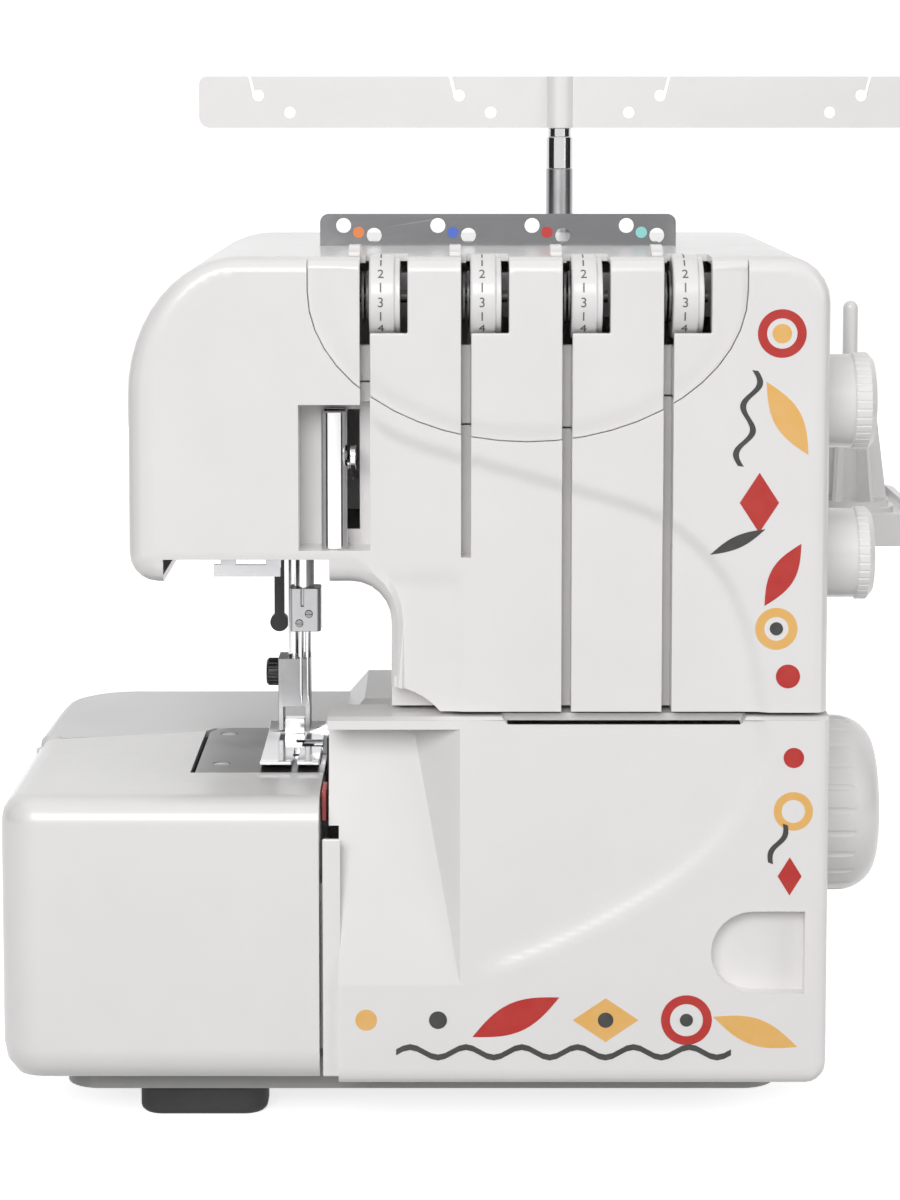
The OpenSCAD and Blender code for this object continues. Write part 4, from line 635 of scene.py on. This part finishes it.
for node_name, edge in small_edges.items():
    work = merged_copy(node_name)
    if node_name.startswith("tension_dial"):
        ends = [corner[0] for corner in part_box(node_name)]
        for v in work.verts:
            if v.co.x < sum(ends) / 2:
                v.co.x -= dial_widening
    merge_flats(work)
    finished_piece(node_name, work, edge * mm)

# ---------------------------------------------------------------------------------------------
# Dial numbers: plain figures and bars printed in grey ink round the rim of each dial, thin
# enough to feel flat. They turn with the dial that carries them.
figure_thickness = 0.24 * mm
longest_edge = 0.9 * mm
ink = surface_finish("grey_ink", (0.10, 0.10, 0.11), (0.2, 0.2, 0.2), 0.5, bump=0.01)


def figure_points(text, size, thick):
    """Vertices and faces of a raised figure from Blender's own typeface, centred on the origin, with long
    edges cut short so that it can bend round a rim."""
    curve = bpy.data.curves.new("figure", "FONT")
    curve.body = text
    curve.size = size
    curve.extrude = thick / 2
    curve.align_x = "CENTER"
    curve.align_y = "CENTER"
    holder = bpy.data.objects.new("figure", curve)
    scene.collection.objects.link(holder)
    bpy.context.view_layer.update()
    mesh = bpy.data.meshes.new_from_object(holder.evaluated_get(bpy.context.evaluated_depsgraph_get()))
    bpy.data.objects.remove(holder)
    work = bmesh.new()
    work.from_mesh(mesh)
    bmesh.ops.remove_doubles(work, verts=work.verts, dist=1e-7)
    bmesh.ops.triangulate(work, faces=work.faces)
    long_edges = [e for e in work.edges if e.calc_length() > longest_edge]
    bmesh.ops.subdivide_edges(work, edges=long_edges, cuts=3)
    bmesh.ops.triangulate(work, faces=work.faces)
    bmesh.ops.recalc_face_normals(work, faces=work.faces)
    points = np.array([v.co for v in work.verts])
    faces = [[v.index for v in f.verts] for f in work.faces]
    work.free()
    return points, faces


def rim_figures(dial, figures, size, start, turn, across):
    """Figures round a dial whose axis lies along X: a figure's height becomes an angle, height over radius,
    and its thickness adds to the radius. start and turn are in degrees above the front."""
    low, high = (np.array(c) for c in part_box(dial))
    middle = (low + high) / 2
    radius = (high[2] - low[2]) / 2
    points = []
    faces = []
    count = 0
    for k, text in enumerate(figures):
        p, f = figure_points(text, size, figure_thickness)
        angle = math.radians(start - turn * k) + p[:, 1] / radius
        reach = radius + p[:, 2]
        points.append(np.stack([low[0] + across * (high[0] - low[0]) + p[:, 0],
                                middle[1] - reach * np.cos(angle), middle[2] + reach * np.sin(angle)], -1))
        faces += [[i + count for i in corner] for corner in f]
        count += len(p)
    mesh = bpy.data.meshes.new(dial + "_figures")
    mesh.from_pydata(np.vstack(points).tolist(), [], faces)
    mesh.materials.append(ink)
    piece = link_object(dial + "_figures", mesh)
    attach(piece, carrier[dial])


scale_marks = ["2", "I", "3", "I", "4", "I", "5", "I", "6", "I", "7", "I", "8", "I", "9", "I", "1", "I"]
for number in range(1, 5):
    rim_figures(f"tension_dial_{number}", scale_marks, 4.6 * mm, 35, 20, 0.3)
rim_figures("stitch_length_dial", ["4", "-", "3", "-", "2", "-", "1"], 5.4 * mm, 42, 17, 0.34)
rim_figures("differential_dial", ["1.5", "-", "1.0", "-", "0.7"], 5.0 * mm, 42, 22, 0.4)

# ---------------------------------------------------------------------------------------------
# Colour dots on the thread guide plate: one of printed enamel beside each thread's pair of holes, in the
# colour that marks the same thread along its whole path.
first_dot_x = -50.3
dot_pitch = 33.3
dot_z = 301.7
dot_radius = 2
dot_thickness = 0.12 * mm


def printed_shape(name, outlines, y, thick, finish, body):
    """Flat printed shapes in the X and Z plane. Each outline is a pair of curves in mm with equal counts, and
    the shape is the strip ruled between them, with a front, a back and closed ends."""
    points = []
    faces = []
    count = 0
    for near, far in outlines:
        n = len(near)
        rings = [(near, y - thick), (far, y - thick), (far, y), (near, y)]
        for flat, depth in rings:
            points.append(np.stack([flat[:, 0] * mm, np.full(n, depth), flat[:, 1] * mm], -1))
        i = np.arange(n - 1)
        for k in range(4):
            a, b = count + k * n, count + (k + 1) % 4 * n
            faces += np.stack([a + i, b + i, b + i + 1, a + i + 1], -1).tolist()
        faces += [[count + k * n for k in range(4)], [count + k * n + n - 1 for k in (3, 2, 1, 0)]]
        count += 4 * n
    mesh = bpy.data.meshes.new(name)
    mesh.from_pydata(np.vstack(points).tolist(), [], faces)
    work = bmesh.new()
    work.from_mesh(mesh)
    bmesh.ops.remove_doubles(work, verts=work.verts, dist=1e-7)
    bmesh.ops.dissolve_degenerate(work, dist=1e-7, edges=work.edges)
    bmesh.ops.recalc_face_normals(work, faces=work.faces)
    work.to_mesh(mesh)
    work.free()
    mesh.materials.append(finish)
    piece = link_object(name, mesh)
    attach(piece, body)
    return piece


def disc(x, z, radius):
    """A round shape as two half circles from its left to its right end."""
    t = np.linspace(0, math.pi, 33)
    upper = np.stack([x - radius * np.cos(t), z + radius * np.sin(t)], -1)
    lower = np.stack([x - radius * np.cos(t), z - radius * np.sin(t)], -1)
    return upper, lower


plate_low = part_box("thread_guide_plate")[0]
dot_colours = {"orange": (0.75, 0.22, 0.06), "blue": (0.07, 0.14, 0.55), "red": (0.5, 0.03, 0.03),
               "aqua": (0.25, 0.62, 0.6)}
for k, (colour_name, colour) in enumerate(dot_colours.items()):
    enamel = surface_finish("dot_" + colour_name, colour, colour, 0.35)
    dot_shape = disc(first_dot_x + dot_pitch * k, dot_z, dot_radius)
    dot = printed_shape("guide_dot_" + colour_name, [dot_shape], plate_low[1], dot_thickness, enamel,
                        carrier["thread_guide_plate"])

# ---------------------------------------------------------------------------------------------
# Printed ornament: plain rings, diamonds, leaves and wavy stripes in red, ochre and charcoal ink,
# down the right of the column and along the foot of the looper cover.
red_ink = surface_finish("red_ink", (0.42, 0.005, 0.004), (0.5, 0.04, 0.03), 0.42)
ochre_ink = surface_finish("ochre_ink", (0.78, 0.42, 0.075), (0.82, 0.5, 0.2), 0.42)
charcoal_ink = surface_finish("charcoal_ink", (0.010, 0.010, 0.008), (0.06, 0.06, 0.06), 0.5)


def ring(x, z, radius, width):
    """A full ring: two circles whose first and last points meet."""
    t = np.linspace(0, 2 * math.pi, 65)
    round_line = np.stack([np.cos(t), np.sin(t)], -1)
    return (x, z) + radius * round_line, (x, z) + (radius - width) * round_line


def diamond(x, z, wide, tall):
    """A four-cornered shape as an upper and a lower bent line."""
    across = np.array([-wide, 0, wide]) / 2
    up = np.array([0, tall, 0]) / 2
    return np.stack([x + across, z + up], -1), np.stack([x + across, z - up], -1)


def leaf(x, z, length, width, lean):
    """Two sine arches from tip to tip, turned by lean degrees."""
    t = np.linspace(0, 1, 25)
    c = math.cos(math.radians(lean))
    s = math.sin(math.radians(lean))
    u = (t - 0.5) * length
    v = 0.5 * width * np.sin(math.pi * t)
    return tuple(np.stack([x + c * u - s * w, z + s * u + c * w], -1) for w in (v, -v))


def ripple(x, z, length, width, swing, waves, lean):
    """A stripe of even width along a sine wave, turned by lean degrees."""
    t = np.linspace(0, 1, 49)
    c = math.cos(math.radians(lean))
    s = math.sin(math.radians(lean))
    u = (t - 0.5) * length
    v = swing * np.sin(2 * math.pi * waves * t)
    edges = (v + width / 2, v - width / 2)
    return tuple(np.stack([x + c * u - s * w, z + s * u + c * w], -1) for w in edges)


column_red = [ring(91, 272, 8, 3), diamond(84, 216, 13, 20), leaf(92, 192, 24, 8, 60), disc(94, 158, 4)]
column_ochre = [disc(91, 272, 3.2), leaf(93, 244, 28, 9, 120), ring(90, 174, 7, 3)]
column_dark = [ripple(80, 244, 32, 2, 2.2, 2, 82), leaf(77, 203, 20, 4, 25), disc(90, 174, 2.2)]
looper_red = [disc(96, 131, 3.4), leaf(4, 43, 32, 10, 25), ring(61, 42, 8.5, 3), diamond(95, 91, 8, 13)]
looper_ochre = [ring(96, 113, 6.5, 2.6), disc(-46, 42, 3.6), diamond(34, 42, 22, 15),
                leaf(84, 38, 30, 9, -20)]
looper_dark = [ripple(20, 31, 112, 2, 1.8, 6, 0), disc(34, 42, 2.6), disc(-22, 42, 3), disc(61, 42, 2.2),
               ripple(91, 102, 14, 1.8, 1.2, 1, 70)]
# Each ink's film is a little thicker or thinner than the next, so that one lies on top where they cross
films = {"red": (red_ink, 0.10), "ochre": (ochre_ink, 0.08), "charcoal": (charcoal_ink, 0.13)}
printed_faces = {"front_cover": (front_low[1], (column_red, column_ochre, column_dark)),
                 "looper_cover": (looper_low[1], (looper_red, looper_ochre, looper_dark))}
for cover_name, (y, designs) in printed_faces.items():
    for (ink_name, (finish, film)), shapes in zip(films.items(), designs):
        print_name = f"{cover_name}_{ink_name}_print"
        print_piece = printed_shape(print_name, shapes, y, film * mm, finish, carrier[cover_name])
